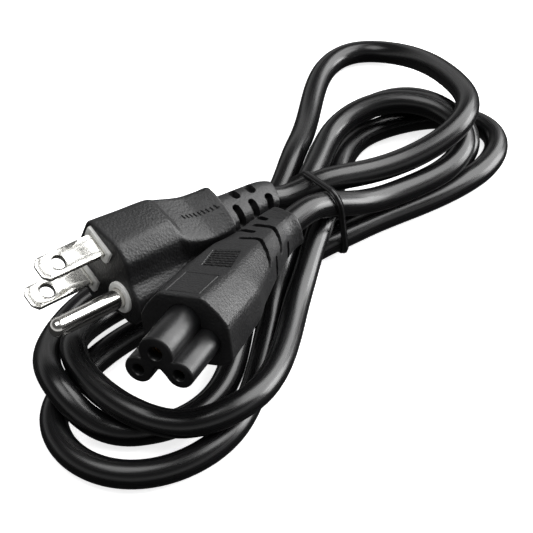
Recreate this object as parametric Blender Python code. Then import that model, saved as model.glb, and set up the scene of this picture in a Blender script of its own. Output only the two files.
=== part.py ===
"""Cloverleaf power cord: a coiled, tied cord with a three-pin wall plug and a cloverleaf connector.

Metres, +Z up, lying unheld on a level floor at Z = 0. Named sizes are in millimetres and become
metres once, through MM. The plug's own axes are X towards the blade tips, Y from the blades to the
ground pin, Z from one blade to the other. The connector's own axes are X out of the nose, Y to its
right, Z towards its earth contact.
"""
import bpy
import bmesh
import numpy as np
from mathutils import Euler, Matrix, Vector

for old in list(bpy.data.objects):
    bpy.data.objects.remove(old, do_unlink=True)

# Shared sizes, millimetres
MM = 0.001
GAP = 0.3                      # clearance between solids that touch in the real cord
CORD_D = 6.8                   # sheath diameter
SIDE_COUNT = 16                # facets round the sheath
CORNER_COUNT = 100              # corners of the sheath's centreline
CORD_STUB = 4.0                # straight length at each end

MIDDLE = (-0.62, 0.11)           # the part's middle on the floor, where the route's own axes have it

# Plug, in its own axes, from the face centre on the blade line
PLUG_AT = (-48.30, -37.33, 26.95)
PLUG_TURN = (-21.454, -5.786, -138.085)
BLADE_W = 6.35
BLADE_T = 1.52
BLADE_REACH = 17.4             # from the face to the tip
BLADE_ROOT = 6.0               # hidden behind the face
BLADE_PITCH = 12.7             # blade centre to blade centre
BLADE_HOLE_D = 3.7
BLADE_HOLE_X = 11.9            # hole centre from the face
PIN_D = 4.8
PIN_REACH = 20.4
PIN_Y = 11.9                   # pin axis from the blade line
COLLAR_PROUD = 0.7             # how far the white collars stand out of the face
COLLAR_W = 9.3
COLLAR_Z = (4.2, 8.5)          # inner and outer edge of each square collar
COLLAR_RING_D = 8.0
CARRIER_DEPTH = (1.8, 3.8)     # the hidden plate that joins the collars
RELIEF_Y = 5.0                 # plug relief's axis from the blade line
PLUG_REAR = 31.7               # rear rim from the face
RELIEF_REACH = 21.3            # plug relief's end from the rear rim
PLUG_END = (-PLUG_REAR - RELIEF_REACH, 5.7, -0.4)    # relief's end, flexed towards the cord
PLUG_END_DIR = (-0.965, 0.22, -0.13)     # the way the cord leaves it

# Connector, in its own axes, from the nose tip midway between the line and neutral contacts
CON_AT = (-30.01, -79.15, 32.07)
CON_TURN = (11.505, -9.691, -113.837)
CONTACT_PITCH = 10.0
EARTH_Z = 4.8
LOBE_R = 3.35
EARTH_LOBE_R = 4.15
HOLE_D = 2.7
EARTH_HOLE_D = 3.3
HOLE_LIP = 2.4                 # depth of the narrow mouth before the contact
NOSE_REACH = 13.8              # from the tip to the body's face
NOSE_ROOT = 4.0                # hidden behind the face
CONTACT_D = 3.1
CONTACT_BORE_D = 2.3
CONTACT_LEN = 9.0
CON_REACH = 52.55              # relief's end from the body's face
CON_END = (-NOSE_REACH - CON_REACH, 2.9, 1.4)
CON_END_DIR = (-0.92, 0.37, 0.13)

# Twist tie
TIE_AT = (13.8, -7.4, 4.0)     # a point in the plane of the tie's loop
TIE_NORMAL = (0.82, 0.54, 0.19)
TIE_W = 1.7
TIE_T = 0.5
TIE_LIFT = 1.6                 # how far the lowest strands ride up over the ribbon

# The hank's route, millimetres: guide points read from the plug to the connector
ROUTE = [
    # along the top of the bundle and round the highest far loop
    (1, -2, 17.8), (5, 0, 17.6), (10, 2.6, 17.7), (17, 6.5, 18.4), (28, 12, 19.6), (39, 19, 20.8),
    (46, 24, 23), (50, 31, 24), (49, 46, 20), (44, 66, 14), (35, 81, 8), (24, 85, 4.5),
    (14, 80, 3.5), (9, 66, 4), (5, 45, 7), (2, 27, 10), (0, 15, 10), (-3, 5, 7),
    # under the plug and round the first near loop
    (-9, -3, 3.5), (-20, -12, 3.5), (-33, -17, 3.5), (-45, -21, 3.5), (-53, -28, 4), (-58, -38, 6),
    (-60, -50, 9), (-56, -63, 10), (-49, -69, 8), (-41, -71, 4), (-33, -71, 3.5), (-25, -68, 3.5),
    (-19, -61, 3.5), (-14, -50, 3.5), (-11, -37, 4), (-10, -28, 5), (-8.4, -18, 7), (-6, -11, 9), (-2.4, -1, 5),
    # second far loop
    (4.2, 11.6, 3.5), (7.4, 23, 3.5), (10, 34, 3.5), (14, 43, 6.5), (21, 49, 8.5), (30, 50, 10),
    (40, 49, 10), (49, 44, 10), (53, 36, 10), (50, 29, 7), (41, 22, 4), (29, 14, 3.5), (17, 7, 3.5),
    # second near loop
    (5, -1, 3.5), (-8, -10, 3.5), (-21, -17, 3.5), (-34, -24, 3.5), (-46, -30, 4),
    (-52, -43, 8), (-53, -54, 10), (-49, -63, 10), (-41, -69, 10), (-33, -74, 10), (-24, -74, 10),
    (-15, -72, 10), (-8, -64, 10), (-4, -50, 8.5), (-1, -36, 8.5), (1, -23, 10), (3, -10, 10),
    # third far loop, the lowest
    (9, 8, 4), (12, 23, 3.5), (17, 37, 3.5), (26, 45, 3.5), (38, 49, 3.5), (49, 50, 3.5),
    (58, 47, 3.5), (61, 39, 3.5), (58, 30, 3.5), (48, 21, 3.5), (37, 12, 3.5), (25, 5, 3.5),
    # third near loop, the outermost
    (16, -1, 3.5), (4, -9, 3.5), (-9, -19, 3.5), (-25, -29, 3.5), (-38, -38, 3.5), (-48, -47, 3.5),
    (-54, -56, 3.5), (-57, -66, 3.5), (-55, -74, 3.5), (-49, -81, 3.5), (-41, -84, 3.5),
    (-32, -84, 3.5), (-23, -79, 3.5), (-15, -72, 3.5), (-10, -62, 3.5), (-8, -47, 3.5), (-6, -33, 5),
    (-4, -24, 8.5), (-0.8, -14, 10), (3.6, -1, 10), (7, 12, 10), (9, 22, 10), (10, 30, 12),
    # last far loop and back to the connector
    (13, 36, 14.5), (21, 41, 17), (30, 45, 17), (40, 43, 17), (48, 35, 17), (50, 27, 16),
    (44, 18, 14), (33, 10, 13), (21, 1, 15), (13, -6, 19.5), (8, -10, 22),
]


# Frames

def frame_matrix(at, turn):
    """Placement of a sub-assembly's own axes in the part, in millimetres."""
    return Matrix.Translation(Vector(at)) @ Euler([np.radians(a) for a in turn]).to_matrix().to_4x4()


PLUG = frame_matrix(PLUG_AT, PLUG_TURN)
CON = frame_matrix(CON_AT, CON_TURN)


# Route of the cord

def even(points, step=None, count=None):
    """The same curve, read at even steps of its length."""
    reach = np.r_[0, np.cumsum(np.linalg.norm(np.diff(points, axis=0), axis=1))]
    if count is None:
        count = int(round(reach[-1] / step)) + 1
    at = np.linspace(0, reach[-1], count)
    return np.column_stack([np.interp(at, reach, points[:, k]) for k in range(3)])


def smooth_curve(points, step):
    """A centripetal Catmull-Rom curve through the points, read at even steps."""
    points = np.asarray(points, float)
    ends = np.vstack([2 * points[0] - points[1], points, 2 * points[-1] - points[-2]])
    knots = np.sqrt(np.linalg.norm(np.diff(ends, axis=0), axis=1))
    out = []
    for i in range(1, len(ends) - 2):
        t1 = knots[i - 1]
        t2 = t1 + knots[i]
        t3 = t2 + knots[i + 1]
        p0, p1, p2, p3 = ends[i - 1:i + 3]
        t = np.linspace(t1, t2, 24, endpoint=False)[:, None]
        a1 = (t1 - t) / t1 * p0 + t / t1 * p1
        a2 = (t2 - t) / (t2 - t1) * p1 + (t - t1) / (t2 - t1) * p2
        a3 = (t3 - t) / (t3 - t2) * p2 + (t - t2) / (t3 - t2) * p3
        b1 = (t2 - t) / t2 * a1 + t / t2 * a2
        b2 = (t3 - t) / (t3 - t1) * a2 + (t - t1) / (t3 - t1) * a3
        out.append((t2 - t) / (t2 - t1) * b1 + (t - t1) / (t2 - t1) * b2)
    out.append(ends[-2][None])
    return even(np.vstack(out), step=step)


def ease(points, width):
    """Take the short kinks out of an even curve's plan and keep its long bends; width in points."""
    span = int(4 * width)
    k = np.exp(-(np.arange(-span, span + 1) / width) ** 2 / 2)
    k /= k.sum()

    def blur(p):
        head = 2 * p[0] - p[span:0:-1]
        tail = 2 * p[-1] - p[-2:-span - 2:-1]
        long = np.vstack([head, p, tail])
        return np.column_stack([np.convolve(long[:, m], k, "valid") for m in range(3)])

    once = blur(points)
    eased = 2 * once - blur(once)
    eased[:, 2] = points[:, 2]
    return eased


def lowest(q):
    """Height of a strand's centre on the floor, with the rise over the tie's ribbon."""
    n = np.array(TIE_NORMAL) / np.linalg.norm(TIE_NORMAL)
    off = (q - np.array(TIE_AT)) @ n
    away = np.linalg.norm(q - np.array(TIE_AT), axis=1)
    return CORD_D / 2 + TIE_LIFT * np.exp(-(off / 20) ** 2) * (away < 50)


def settle(points, step=4.0, rounds=600, slack=0.3, pull=0.018, stiff=0.12, sink=0.02, keep=3):
    """Let a springy cord along the route sink, stay off the floor and off itself."""
    guide = ease(smooth_curve(points, step), 8.0 / step)
    q = guide.copy()
    i, j = np.triu_indices(len(q), int(np.ceil(2.5 * CORD_D / step)))
    for turn in range(rounds):
        if turn % 10 == 0:
            v = q[i] - q[j]
            near = (v * v).sum(1) < (CORD_D + 7) ** 2
            a0 = i[near]
            b0 = j[near]
        lap = np.zeros_like(q)
        lap[1:-1] = q[:-2] - 2 * q[1:-1] + q[2:]
        bend = np.zeros_like(q)
        bend[1:-1] = lap[:-2] - 2 * lap[1:-1] + lap[2:]
        q = q - stiff * bend
        q += pull * (guide - q) * (1, 1, 0.3)
        q[:, 2] -= sink
        for again in range(3):
            v = q[a0] - q[b0]
            dist = np.sqrt((v * v).sum(1))
            hit = dist < CORD_D + slack
            push = ((CORD_D + slack - dist[hit]) / np.maximum(dist[hit], 0.3) * 0.3)[:, None] * v[hit]
            np.add.at(q, a0[hit], push)
            np.add.at(q, b0[hit], -push)
            q[:, 2] = np.maximum(q[:, 2], lowest(q))
        q[:keep] = guide[:keep]
        q[-keep:] = guide[-keep:]
    return q


def thin(q, count, flat=1 / 120):
    """Corners for a polyline: close together on the bends, far apart on the straights."""
    fine = even(q, step=1.0)
    t = np.gradient(fine, axis=0)
    t /= np.linalg.norm(t, axis=1)[:, None]
    bend = np.linalg.norm(np.gradient(t, axis=0), axis=1)
    bend = np.convolve(np.pad(bend, 4, "edge"), np.ones(9) / 9, "valid")
    weight = np.sqrt(bend + flat)
    total = np.r_[0, np.cumsum((weight[1:] + weight[:-1]) / 2)]
    index = np.arange(len(fine))
    at = np.interp(np.linspace(0, total[-1], count), total, index)
    return np.column_stack([np.interp(at, index, fine[:, k]) for k in range(3)]), at


def closest(a0, a1, b0, b1):
    """Shortest vector between pairs of segments, and where it meets each."""
    u = a1 - a0
    v = b1 - b0
    w = a0 - b0
    aa = (u * u).sum(1)
    ab = (u * v).sum(1)
    bb = (v * v).sum(1)
    aw = (u * w).sum(1)
    bw = (v * w).sum(1)
    s = np.clip((ab * bw - bb * aw) / np.maximum(aa * bb - ab * ab, 1e-9), 0, 1)
    t = np.clip((ab * s + bw) / bb, 0, 1)
    s = np.clip((ab * t - aw) / aa, 0, 1)
    t = np.clip((ab * s + bw) / bb, 0, 1)
    return w + s[:, None] * u - t[:, None] * v, s, t


def part_strands(p, at, slack=0.15, rounds=300, keep=2):
    """Move a polyline's corners until its straight pieces clear each other by the sheath's width."""
    q = p.copy()
    i, j = np.triu_indices(len(p) - 1, 2)
    far = at[j] - at[i + 1] > 1.7 * CORD_D
    i = i[far]
    j = j[far]
    for turn in range(rounds):
        v, s, t = closest(q[i], q[i + 1], q[j], q[j + 1])
        dist = np.linalg.norm(v, axis=1)
        hit = dist < CORD_D + slack
        if not hit.any():
            break
        m = ((CORD_D + slack - dist[hit]) / np.maximum(dist[hit], 0.3) * 0.35)[:, None] * v[hit]
        a = i[hit]
        b = j[hit]
        sa = s[hit, None]
        tb = t[hit, None]
        np.add.at(q, a, m * (1 - sa))
        np.add.at(q, a + 1, m * sa)
        np.add.at(q, b, -m * (1 - tb))
        np.add.at(q, b + 1, -m * tb)
        q[:, 2] = np.maximum(q[:, 2], lowest(q))
        q[:keep] = p[:keep]
        q[-keep:] = p[-keep:]
    return q


# Solids

def material(name, rgb, rough, metal=0.0):
    """A plain Principled material."""
    mat = bpy.data.materials.new(name)
    mat.use_nodes = True
    bsdf = mat.node_tree.nodes["Principled BSDF"]
    bsdf.inputs["Base Color"].default_value = (*rgb, 1.0)
    bsdf.inputs["Roughness"].default_value = rough
    bsdf.inputs["Metallic"].default_value = metal
    mat.diffuse_color = (*rgb, 1.0)
    return mat


def solid(name, verts, faces, mat=None, place=None, smooth=40):
    """An object from millimetre points, placed by a matrix in millimetres."""
    verts = np.asarray(verts, float)
    if place is not None:
        m = np.array(place)
        verts = verts @ m[:3, :3].T + m[:3, 3]
    verts = verts - (*MIDDLE, 0.0)
    mesh = bpy.data.meshes.new(name)
    mesh.from_pydata((verts * MM).tolist(), [], [list(map(int, f)) for f in faces])
    bm = bmesh.new()
    bm.from_mesh(mesh)
    bmesh.ops.recalc_face_normals(bm, faces=bm.faces)
    bm.to_mesh(mesh)
    bm.free()
    obj = bpy.data.objects.new(name, mesh)
    bpy.context.scene.collection.objects.link(obj)
    if mat is not None:
        mesh.materials.append(mat)
    if smooth:
        soften(mesh, smooth)
    return obj


def soften(mesh, angle):
    """Smooth shading with sharp edges kept where faces meet at more than the angle."""
    bm = bmesh.new()
    bm.from_mesh(mesh)
    for face in bm.faces:
        face.smooth = True
    for edge in bm.edges:
        if len(edge.link_faces) == 2:
            edge.smooth = bool(edge.calc_face_angle(0.0) < np.radians(angle))
    bm.to_mesh(mesh)
    bm.free()


def loft(rings, closed=False):
    """Points and faces of a body through equal rings of points, capped flat at both ends."""
    rings = np.asarray(rings, float)
    rows, cols = rings.shape[:2]
    faces = []
    for r in range(rows if closed else rows - 1):
        s = (r + 1) % rows
        for c in range(cols):
            e = (c + 1) % cols
            faces.append((r * cols + c, r * cols + e, s * cols + e, s * cols + c))
    if not closed:
        faces.append(tuple(range(cols))[::-1])
        faces.append(tuple(range((rows - 1) * cols, rows * cols)))
    return rings.reshape(-1, 3), faces


def rounded(keys, cuts=2):
    """A closed outline from half an outline of key points, mirrored and with its corners cut."""
    half = np.asarray(keys, float)
    other = half[1:-1][::-1] * (1, -1)
    p = np.vstack([half, other])
    for _ in range(cuts):
        nxt = np.roll(p, -1, axis=0)
        p = np.stack([0.78 * p + 0.22 * nxt, 0.22 * p + 0.78 * nxt], axis=1).reshape(-1, 2)
    return p


def cylinder(x0, x1, r, y=0.0, z=0.0, sides=32, r2=None):
    """A round bar along X."""
    a = np.linspace(0, 2 * np.pi, sides, endpoint=False)
    rings = []
    for x, rad in ((x0, r), (x1, r if r2 is None else r2)):
        rings.append(np.column_stack([np.full(sides, x), y + rad * np.cos(a), z + rad * np.sin(a)]))
    return loft(rings)


def lathe(profile, y=0.0, z=0.0, sides=32):
    """A turned body along X from (x, radius) pairs, capped flat at both ends."""
    a = np.linspace(0, 2 * np.pi, sides, endpoint=False)
    rings = [np.column_stack([np.full(sides, x), y + r * np.cos(a), z + r * np.sin(a)])
             for x, r in profile]
    return loft(rings)


def box(x, y, z):
    """A block between pairs of limits."""
    ring = [(y[0], z[0]), (y[1], z[0]), (y[1], z[1]), (y[0], z[1])]
    return loft([[(x[0], a, b) for a, b in ring], [(x[1], a, b) for a, b in ring]])


def combine(obj, other, how="DIFFERENCE"):
    """Apply a Boolean between two objects and remove the second."""
    other.hide_render = True
    other.display_type = "WIRE"
    mod = obj.modifiers.new("cut", "BOOLEAN")
    mod.operation = how
    mod.solver = "EXACT"
    mod.object = other
    deps = bpy.context.evaluated_depsgraph_get()
    mesh = bpy.data.meshes.new_from_object(obj.evaluated_get(deps))
    obj.modifiers.clear()
    old = obj.data
    obj.data = mesh
    bpy.data.meshes.remove(old)
    bpy.data.objects.remove(other, do_unlink=True)
    bm = bmesh.new()
    bm.from_mesh(mesh)
    bmesh.ops.remove_doubles(bm, verts=bm.verts, dist=2e-6)
    bmesh.ops.dissolve_degenerate(bm, edges=bm.edges, dist=1e-6)
    bm.to_mesh(mesh)
    bm.free()
    soften(mesh, 40)
    return obj


def slot(rings, line, half, depth, proud=0.6):
    """A cutter that follows a line over a lofted skin, read from (turn, ring number) pairs."""
    rings = np.asarray(rings, float)
    rows, cols = rings.shape[:2]
    mid = rings.mean(axis=1)
    line = np.array(line)
    out = []
    for side in np.linspace(-half, half, 3):
        strip = []
        for c in np.linspace(0, len(line) - 1, 4 * len(line) - 1):
            turn = np.interp(c, range(len(line)), line[:, 0]) * cols
            r = np.interp(c, range(len(line)), line[:, 1]) + side
            k = min(int(r), rows - 2)
            j = int(np.floor(turn))
            skin = (1 - r + k) * rings[k] + (r - k) * rings[k + 1]
            centre = (1 - r + k) * mid[k] + (r - k) * mid[k + 1]
            p = (1 - turn + j) * skin[j % cols] + (turn - j) * skin[(j + 1) % cols]
            ray = (p - centre) / np.linalg.norm(p - centre)
            strip.append((p + ray * proud, p - ray * depth))
        strip = np.array(strip)
        out.append(np.vstack([strip[:, 0], strip[::-1, 1]]))
    return loft(out)


# Materials
PVC = material("black_pvc", (0.014, 0.014, 0.015), 0.55)
SHEATH = material("black_sheath", (0.012, 0.012, 0.013), 0.3)
NICKEL = material("nickel_plate", (0.72, 0.71, 0.68), 0.22, 1.0)
NYLON = material("white_insert", (0.82, 0.82, 0.8), 0.4)
INSERT = material("black_insert", (0.017, 0.017, 0.018), 0.45)
BRONZE = material("contact_metal", (0.62, 0.5, 0.3), 0.35, 1.0)
RIBBON = material("tie_ribbon", (0.02, 0.02, 0.021), 0.4)


# Plug overmould: half outlines (Y, Z) at distances behind the face
PLUG_KEYS = {
    0.0: [(-6.3, 0), (-6.3, 4.1), (-6.3, 7.4), (-5.5, 9.2), (0, 10.8), (5, 12.2), (9.3, 10.8),
          (11.4, 7.7), (13.3, 5.9), (17, 5), (19.1, 2.9), (19.6, 0)],
    8.2: [(-5.6, 0), (-5.6, 4.3), (-5.6, 7.8), (-4.7, 9.6), (0.3, 11.1), (5, 12.3), (9.4, 10.9),
          (11.4, 7.7), (13.3, 5.9), (16.7, 4.9), (18.6, 2.8), (19, 0)],
    15.9: [(-4.8, 0), (-4.8, 4.6), (-4.8, 8.2), (-4, 10.1), (0.5, 11.4), (5, 12.3), (9.5, 10.9),
           (11.5, 7.7), (13.2, 5.8), (15.8, 4.7), (17.4, 2.6), (17.8, 0)],
    18.4: [(-4.3, 0), (-4.3, 4.5), (-4.2, 7.9), (-3.3, 9.3), (1, 9.9), (6.1, 10.6), (10.9, 10.6),
           (12.3, 7.8), (13.2, 5.7), (15.4, 4.5), (16.8, 2.5), (17.1, 0)],
    24.1: [(-2.4, 0), (-2.4, 4.5), (-2.3, 7.8), (-1.4, 9.2), (2, 9.5), (7.2, 9.9), (12.6, 10.2),
           (13.2, 8), (13.1, 5.5), (14.2, 4), (15.2, 2), (15.4, 0)],
    28.7: [(-1.3, 0), (-1.3, 4.7), (-1.2, 8.6), (-0.4, 10.2), (2.9, 10.8), (7.8, 11.1), (13.1, 11),
           (13.6, 8.4), (13.4, 5.7), (13.6, 3.7), (13.9, 1.8), (14, 0)],
    31.7: [(-0.9, 0), (-0.9, 4.9), (-0.7, 9.6), (0.5, 11.9), (3.3, 12.5), (7.8, 12.6), (12.5, 11.9),
           (13.4, 8.8), (13.3, 6.1), (13.2, 3.9), (13.1, 1.9), (13.1, 0)],
}


def plug_rings():
    """Rings of the plug's block, finger dish and rear rim."""
    at = np.array(sorted(PLUG_KEYS))
    outlines = np.array([rounded(PLUG_KEYS[a]) for a in at])
    rings = []
    for x in (0.0, 0.8, 8.2, 15.4, 16.3, 17.6, 19.5, 21.5, 24.1, 26.6, 28.7, 30.4, PLUG_REAR):
        shape = np.empty_like(outlines[0])
        for axis in range(2):
            for k in range(shape.shape[0]):
                shape[k, axis] = np.interp(x, at, outlines[:, k, axis])
        if x == 0.0:
            middle = np.array([5.0, 0.0])
            shape = middle + (shape - middle) * 0.955
        rings.append(np.column_stack([np.full(len(shape), -x), shape]))
    return np.array(rings)


def relief_outline(half, square=2.7, sides=48):
    """A round-cornered square section."""
    a = np.linspace(0, 2 * np.pi, sides, endpoint=False)
    c = np.cos(a)
    s = np.sin(a)
    r = half / (np.abs(c) ** square + np.abs(s) ** square) ** (1 / square)
    return np.column_stack([r * c, r * s])


def plug_relief_rings():
    """Rings of the plug's strain relief, from inside the rear rim to its end."""
    end = np.array(PLUG_END)
    out = np.array(PLUG_END_DIR) / np.linalg.norm(PLUG_END_DIR)
    path = smooth_curve([(1.0 - PLUG_REAR, 5.6, 0), (-5.3 - PLUG_REAR, 5.3, 0), (-12.3 - PLUG_REAR, RELIEF_Y, 0),
                         end - 3 * out, end], 0.25)
    reach = np.r_[0, np.linalg.norm(np.diff(path, axis=0), axis=1).cumsum()]
    rings = []
    for s, half in ((0, 6.4), (3.1, 6.1), (6.2, 5.75), (9.2, 5.4), (12.3, 5.15), (15.4, 4.9), (18.4, 4.7),
                    (reach[-1] - 1.3, 4.5), (reach[-1], 4.1)):
        c = np.array([np.interp(s, reach, path[:, k]) for k in range(3)])
        d = np.array([np.interp(s + 0.5, reach, path[:, k]) - np.interp(s - 0.5, reach, path[:, k])
                      for k in range(3)])
        d /= np.linalg.norm(d)
        side = np.cross((0, 0, 1), d)
        side /= -np.linalg.norm(side)
        up = np.cross(d, side)
        ring = relief_outline(half)
        rings.append(c + ring[:, :1] * side - ring[:, 1:] * up)
    return np.array(rings)


def carrier_parts(grow):
    """The white insert's blocks, each grown by a clearance for the recess that holds it."""
    x0, x1 = -CARRIER_DEPTH[1] - grow, -CARRIER_DEPTH[0] + grow
    out = COLLAR_PROUD + (1.0 if grow else 0.0)
    parts = [box((x0, x1), (0.4 - COLLAR_W / 2 - grow, COLLAR_W / 2 - 0.4 + grow),
                 (0.4 - COLLAR_Z[1] - grow, COLLAR_Z[1] - 0.4 + grow)),
             box((x0 + 0.1, x1 - 0.1), (0.0, PIN_Y), (-3.0 - grow, 3.0 + grow)),
             cylinder(x0 + 0.2, out, COLLAR_RING_D / 2 + grow, y=PIN_Y, sides=40)]
    for side in (-1, 1):
        z = sorted((side * (COLLAR_Z[0] - grow), side * (COLLAR_Z[1] + grow)))
        parts.append(box((x0 + 0.5, out), (-COLLAR_W / 2 - grow, COLLAR_W / 2 + grow), z))
    return parts


def build_plug():
    """The plug's overmould, insert, blades and ground pin."""
    half = BLADE_PITCH / 2
    body = solid("plug_body", *loft(plug_rings()), PVC, PLUG)
    relief = plug_relief_rings()
    combine(body, solid("relief", *loft(relief), None, PLUG, 0), "UNION")
    for piece in carrier_parts(GAP):
        combine(body, solid("recess", *piece, None, PLUG, 0))
    for side in (-1, 1):
        root = box((-BLADE_ROOT - GAP, 1.0), (-BLADE_W / 2 - GAP, BLADE_W / 2 + GAP),
                   (side * half - BLADE_T / 2 - GAP, side * half + BLADE_T / 2 + GAP))
        combine(body, solid("recess", *root, None, PLUG, 0))
    combine(body, solid("recess", *cylinder(-BLADE_ROOT - GAP, 1.0, PIN_D / 2 + GAP, y=PIN_Y), None, PLUG, 0))
    for sign in (1, -1):
        for ring, low, high in ((2.6, 0.05, 0.24), (4.3, 0.05, 0.23), (6.1, 0.03, 0.22),
                                (3.5, 0.30, 0.38), (5.2, 0.30, 0.38)):
            cutter = slot(relief, [(sign * low, ring), (sign * high, ring)], 0.3, 1.5)
            combine(body, solid("window", *cutter, None, PLUG, 0))

    parts = carrier_parts(0.0)
    carrier = solid("pin_carrier", *parts[0], NYLON, PLUG)
    for piece in parts[1:]:
        combine(carrier, solid("part", *piece, None, PLUG, 0), "UNION")
    for side in (-1, 1):
        hole = box((-6.0, 3.0), (-BLADE_W / 2 - GAP, BLADE_W / 2 + GAP),
                   (side * half - BLADE_T / 2 - GAP, side * half + BLADE_T / 2 + GAP))
        combine(carrier, solid("hole", *hole, None, PLUG, 0))
    combine(carrier, solid("hole", *cylinder(-6.0, 3.0, PIN_D / 2 + GAP, y=PIN_Y), None, PLUG, 0))

    for name, side in (("blade_line", 1), ("blade_neutral", -1)):
        w = BLADE_W / 2
        t = BLADE_T / 2
        rings = []
        for x, wide, thick in ((-BLADE_ROOT, w, t), (BLADE_REACH - 2.2, w, t),
                               (BLADE_REACH - 1.3, w - 0.25, t - 0.12), (BLADE_REACH, w - 1.5, t - 0.42)):
            ring = [(x, -wide, side * half - thick), (x, wide, side * half - thick),
                    (x, wide, side * half + thick), (x, -wide, side * half + thick)]
            rings.append(ring)
        blade = solid(name, *loft(rings), NICKEL, PLUG)
        a = np.linspace(0, 2 * np.pi, 32, endpoint=False)
        hole = [np.column_stack([BLADE_HOLE_X + BLADE_HOLE_D / 2 * np.cos(a),
                                 BLADE_HOLE_D / 2 * np.sin(a), np.full(32, side * half + dz)])
                for dz in (-2, 2)]
        combine(blade, solid("hole", *loft(hole), None, PLUG, 0))
    r = PIN_D / 2
    tip = [(PIN_REACH - r + r * np.sin(a), r * np.cos(a)) for a in np.radians([0, 18, 36, 54, 70, 82])]
    solid("ground_pin", *lathe([(-BLADE_ROOT, r)] + tip, y=PIN_Y), NICKEL, PLUG)


# Connector overmould: half outlines (Z, Y) at distances behind the body's face
CON_KEYS = {
    0.0: [(11.4, 0), (11.4, 3), (11.4, 5.1), (10.7, 6.3), (8.1, 8.9), (5.3, 10.8), (3.5, 11.1),
           (-3.8, 11.1), (-5.3, 10.3), (-6.4, 7.9), (-6.5, 3), (-6.5, 0)],
    15.7: [(9.8, 0), (9.8, 3), (9.8, 5.1), (9.3, 6.4), (7.3, 8.9), (4.9, 10.8), (3.3, 11.1),
           (-2.9, 11), (-4.3, 10), (-5.3, 7.9), (-5.5, 3), (-5.5, 0)],
    21.6: [(9.2, 0), (9.2, 3), (9.2, 5.1), (8.6, 6.3), (6.9, 8.3), (4.7, 9.8), (3.1, 10.1),
           (-2.4, 9.8), (-3.8, 8.8), (-4.9, 6.9), (-5.1, 3), (-5.1, 0)],
    28.5: [(8.5, 0), (8.5, 2.8), (8.4, 4.8), (7.8, 6), (6.3, 7.6), (4.3, 8.7), (2.8, 8.9),
           (-2.2, 8.6), (-3.5, 7.8), (-4.6, 6.1), (-4.8, 2.8), (-4.8, 0)],
    35.4: [(7.5, 0), (7.5, 2.5), (7.3, 4.3), (6.7, 5.4), (5.4, 6.6), (3.7, 7.3), (2.2, 7.4),
           (-2, 7.2), (-3.2, 6.6), (-4.4, 5.1), (-4.7, 2.5), (-4.7, 0)],
    42.3: [(6.7, 0), (6.7, 2.2), (6.5, 3.8), (5.9, 4.8), (4.7, 5.7), (3.1, 6.2), (1.8, 6.3),
           (-1.8, 6.1), (-3, 5.7), (-4.1, 4.5), (-4.4, 2.2), (-4.4, 0)],
    51.2: [(5.8, 0), (5.8, 2), (5.6, 3.3), (5.1, 4.2), (4.1, 4.9), (2.8, 5.3), (1.5, 5.4),
           (-1.5, 5.2), (-2.7, 4.8), (-3.5, 3.8), (-3.8, 2), (-3.8, 0)],
}


# Relief slots of the connector: (turn round the outline, ring number) along each slot
CON_SLOTS = (
    [(-0.01, 8.5), (-0.08, 8.75), (-0.17, 8.0), (-0.25, 7.1)],
    [(0.01, 11.5), (-0.09, 11.5), (-0.19, 10.8), (-0.27, 10.1)],
    [(-0.02, 10.1), (0.08, 10.2), (0.18, 9.6), (0.26, 8.9)],
    [(0.0, 12.8), (0.09, 12.9), (0.19, 12.3), (0.27, 11.7)],
    [(-0.29, 8.6), (-0.36, 8.4), (-0.44, 8.2)],
    [(-0.31, 11.9), (-0.37, 11.7), (-0.44, 11.5)],
)


def con_rings():
    """Rings of the connector's body and its relief, which bends towards the cord at its end."""
    at = np.array(sorted(CON_KEYS))
    outlines = np.array([rounded(CON_KEYS[a]) for a in at])
    end = np.array(CON_END)
    out = np.array(CON_END_DIR) / np.linalg.norm(CON_END_DIR)
    path = smooth_curve([(-NOSE_REACH, 0, 0), (-NOSE_REACH - 16.2, 0, 0), (-NOSE_REACH - 28.2, 0, 0),
                         (-NOSE_REACH - 37.2, 0.2, 0.1), end - 6 * out, end], 0.25)
    reach = np.r_[0, np.linalg.norm(np.diff(path, axis=0), axis=1).cumsum()]
    stops = [0, 0.7, 7.8, 15.7, 18.7, 21.6, 25.1, 28.5, 32.0, 35.4, 38.4, 41.3, 44.3, 47.2, 50.2,
             reach[-1] - 0.8, reach[-1]]
    rings = []
    for k, s in enumerate(stops):
        c = np.array([np.interp(s, reach, path[:, m]) for m in range(3)])
        d = np.array([np.interp(min(s + 0.6, reach[-1]), reach, path[:, m]) for m in range(3)])
        d -= np.array([np.interp(min(s + 0.6, reach[-1]) - 1.2, reach, path[:, m]) for m in range(3)])
        d /= np.linalg.norm(d)
        right = np.cross(d, (0, 0, 1))
        right /= -np.linalg.norm(right)
        up = np.cross(right, d)
        up *= np.sign(up[2])
        shape = np.empty_like(outlines[0])
        for axis in range(2):
            for m in range(shape.shape[0]):
                shape[m, axis] = np.interp(s, at, outlines[:, m, axis])
        if k == 0:
            shape = (shape - (2.5, 0)) * 0.965 + (2.5, 0)
        if k == len(stops) - 1:
            shape = (shape - (1.0, 0)) * 0.86 + (1.0, 0)
        # the section's middle follows the path, so that the cord leaves from the centre of the end
        lift = np.interp(s, (29.2, 48.2), (0.0, 1.0)) * (shape[:, 0].max() + shape[:, 0].min()) / 2
        rings.append(c + (shape[:, :1] - lift) * up + shape[:, 1:] * right)
    return np.array(rings)


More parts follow.
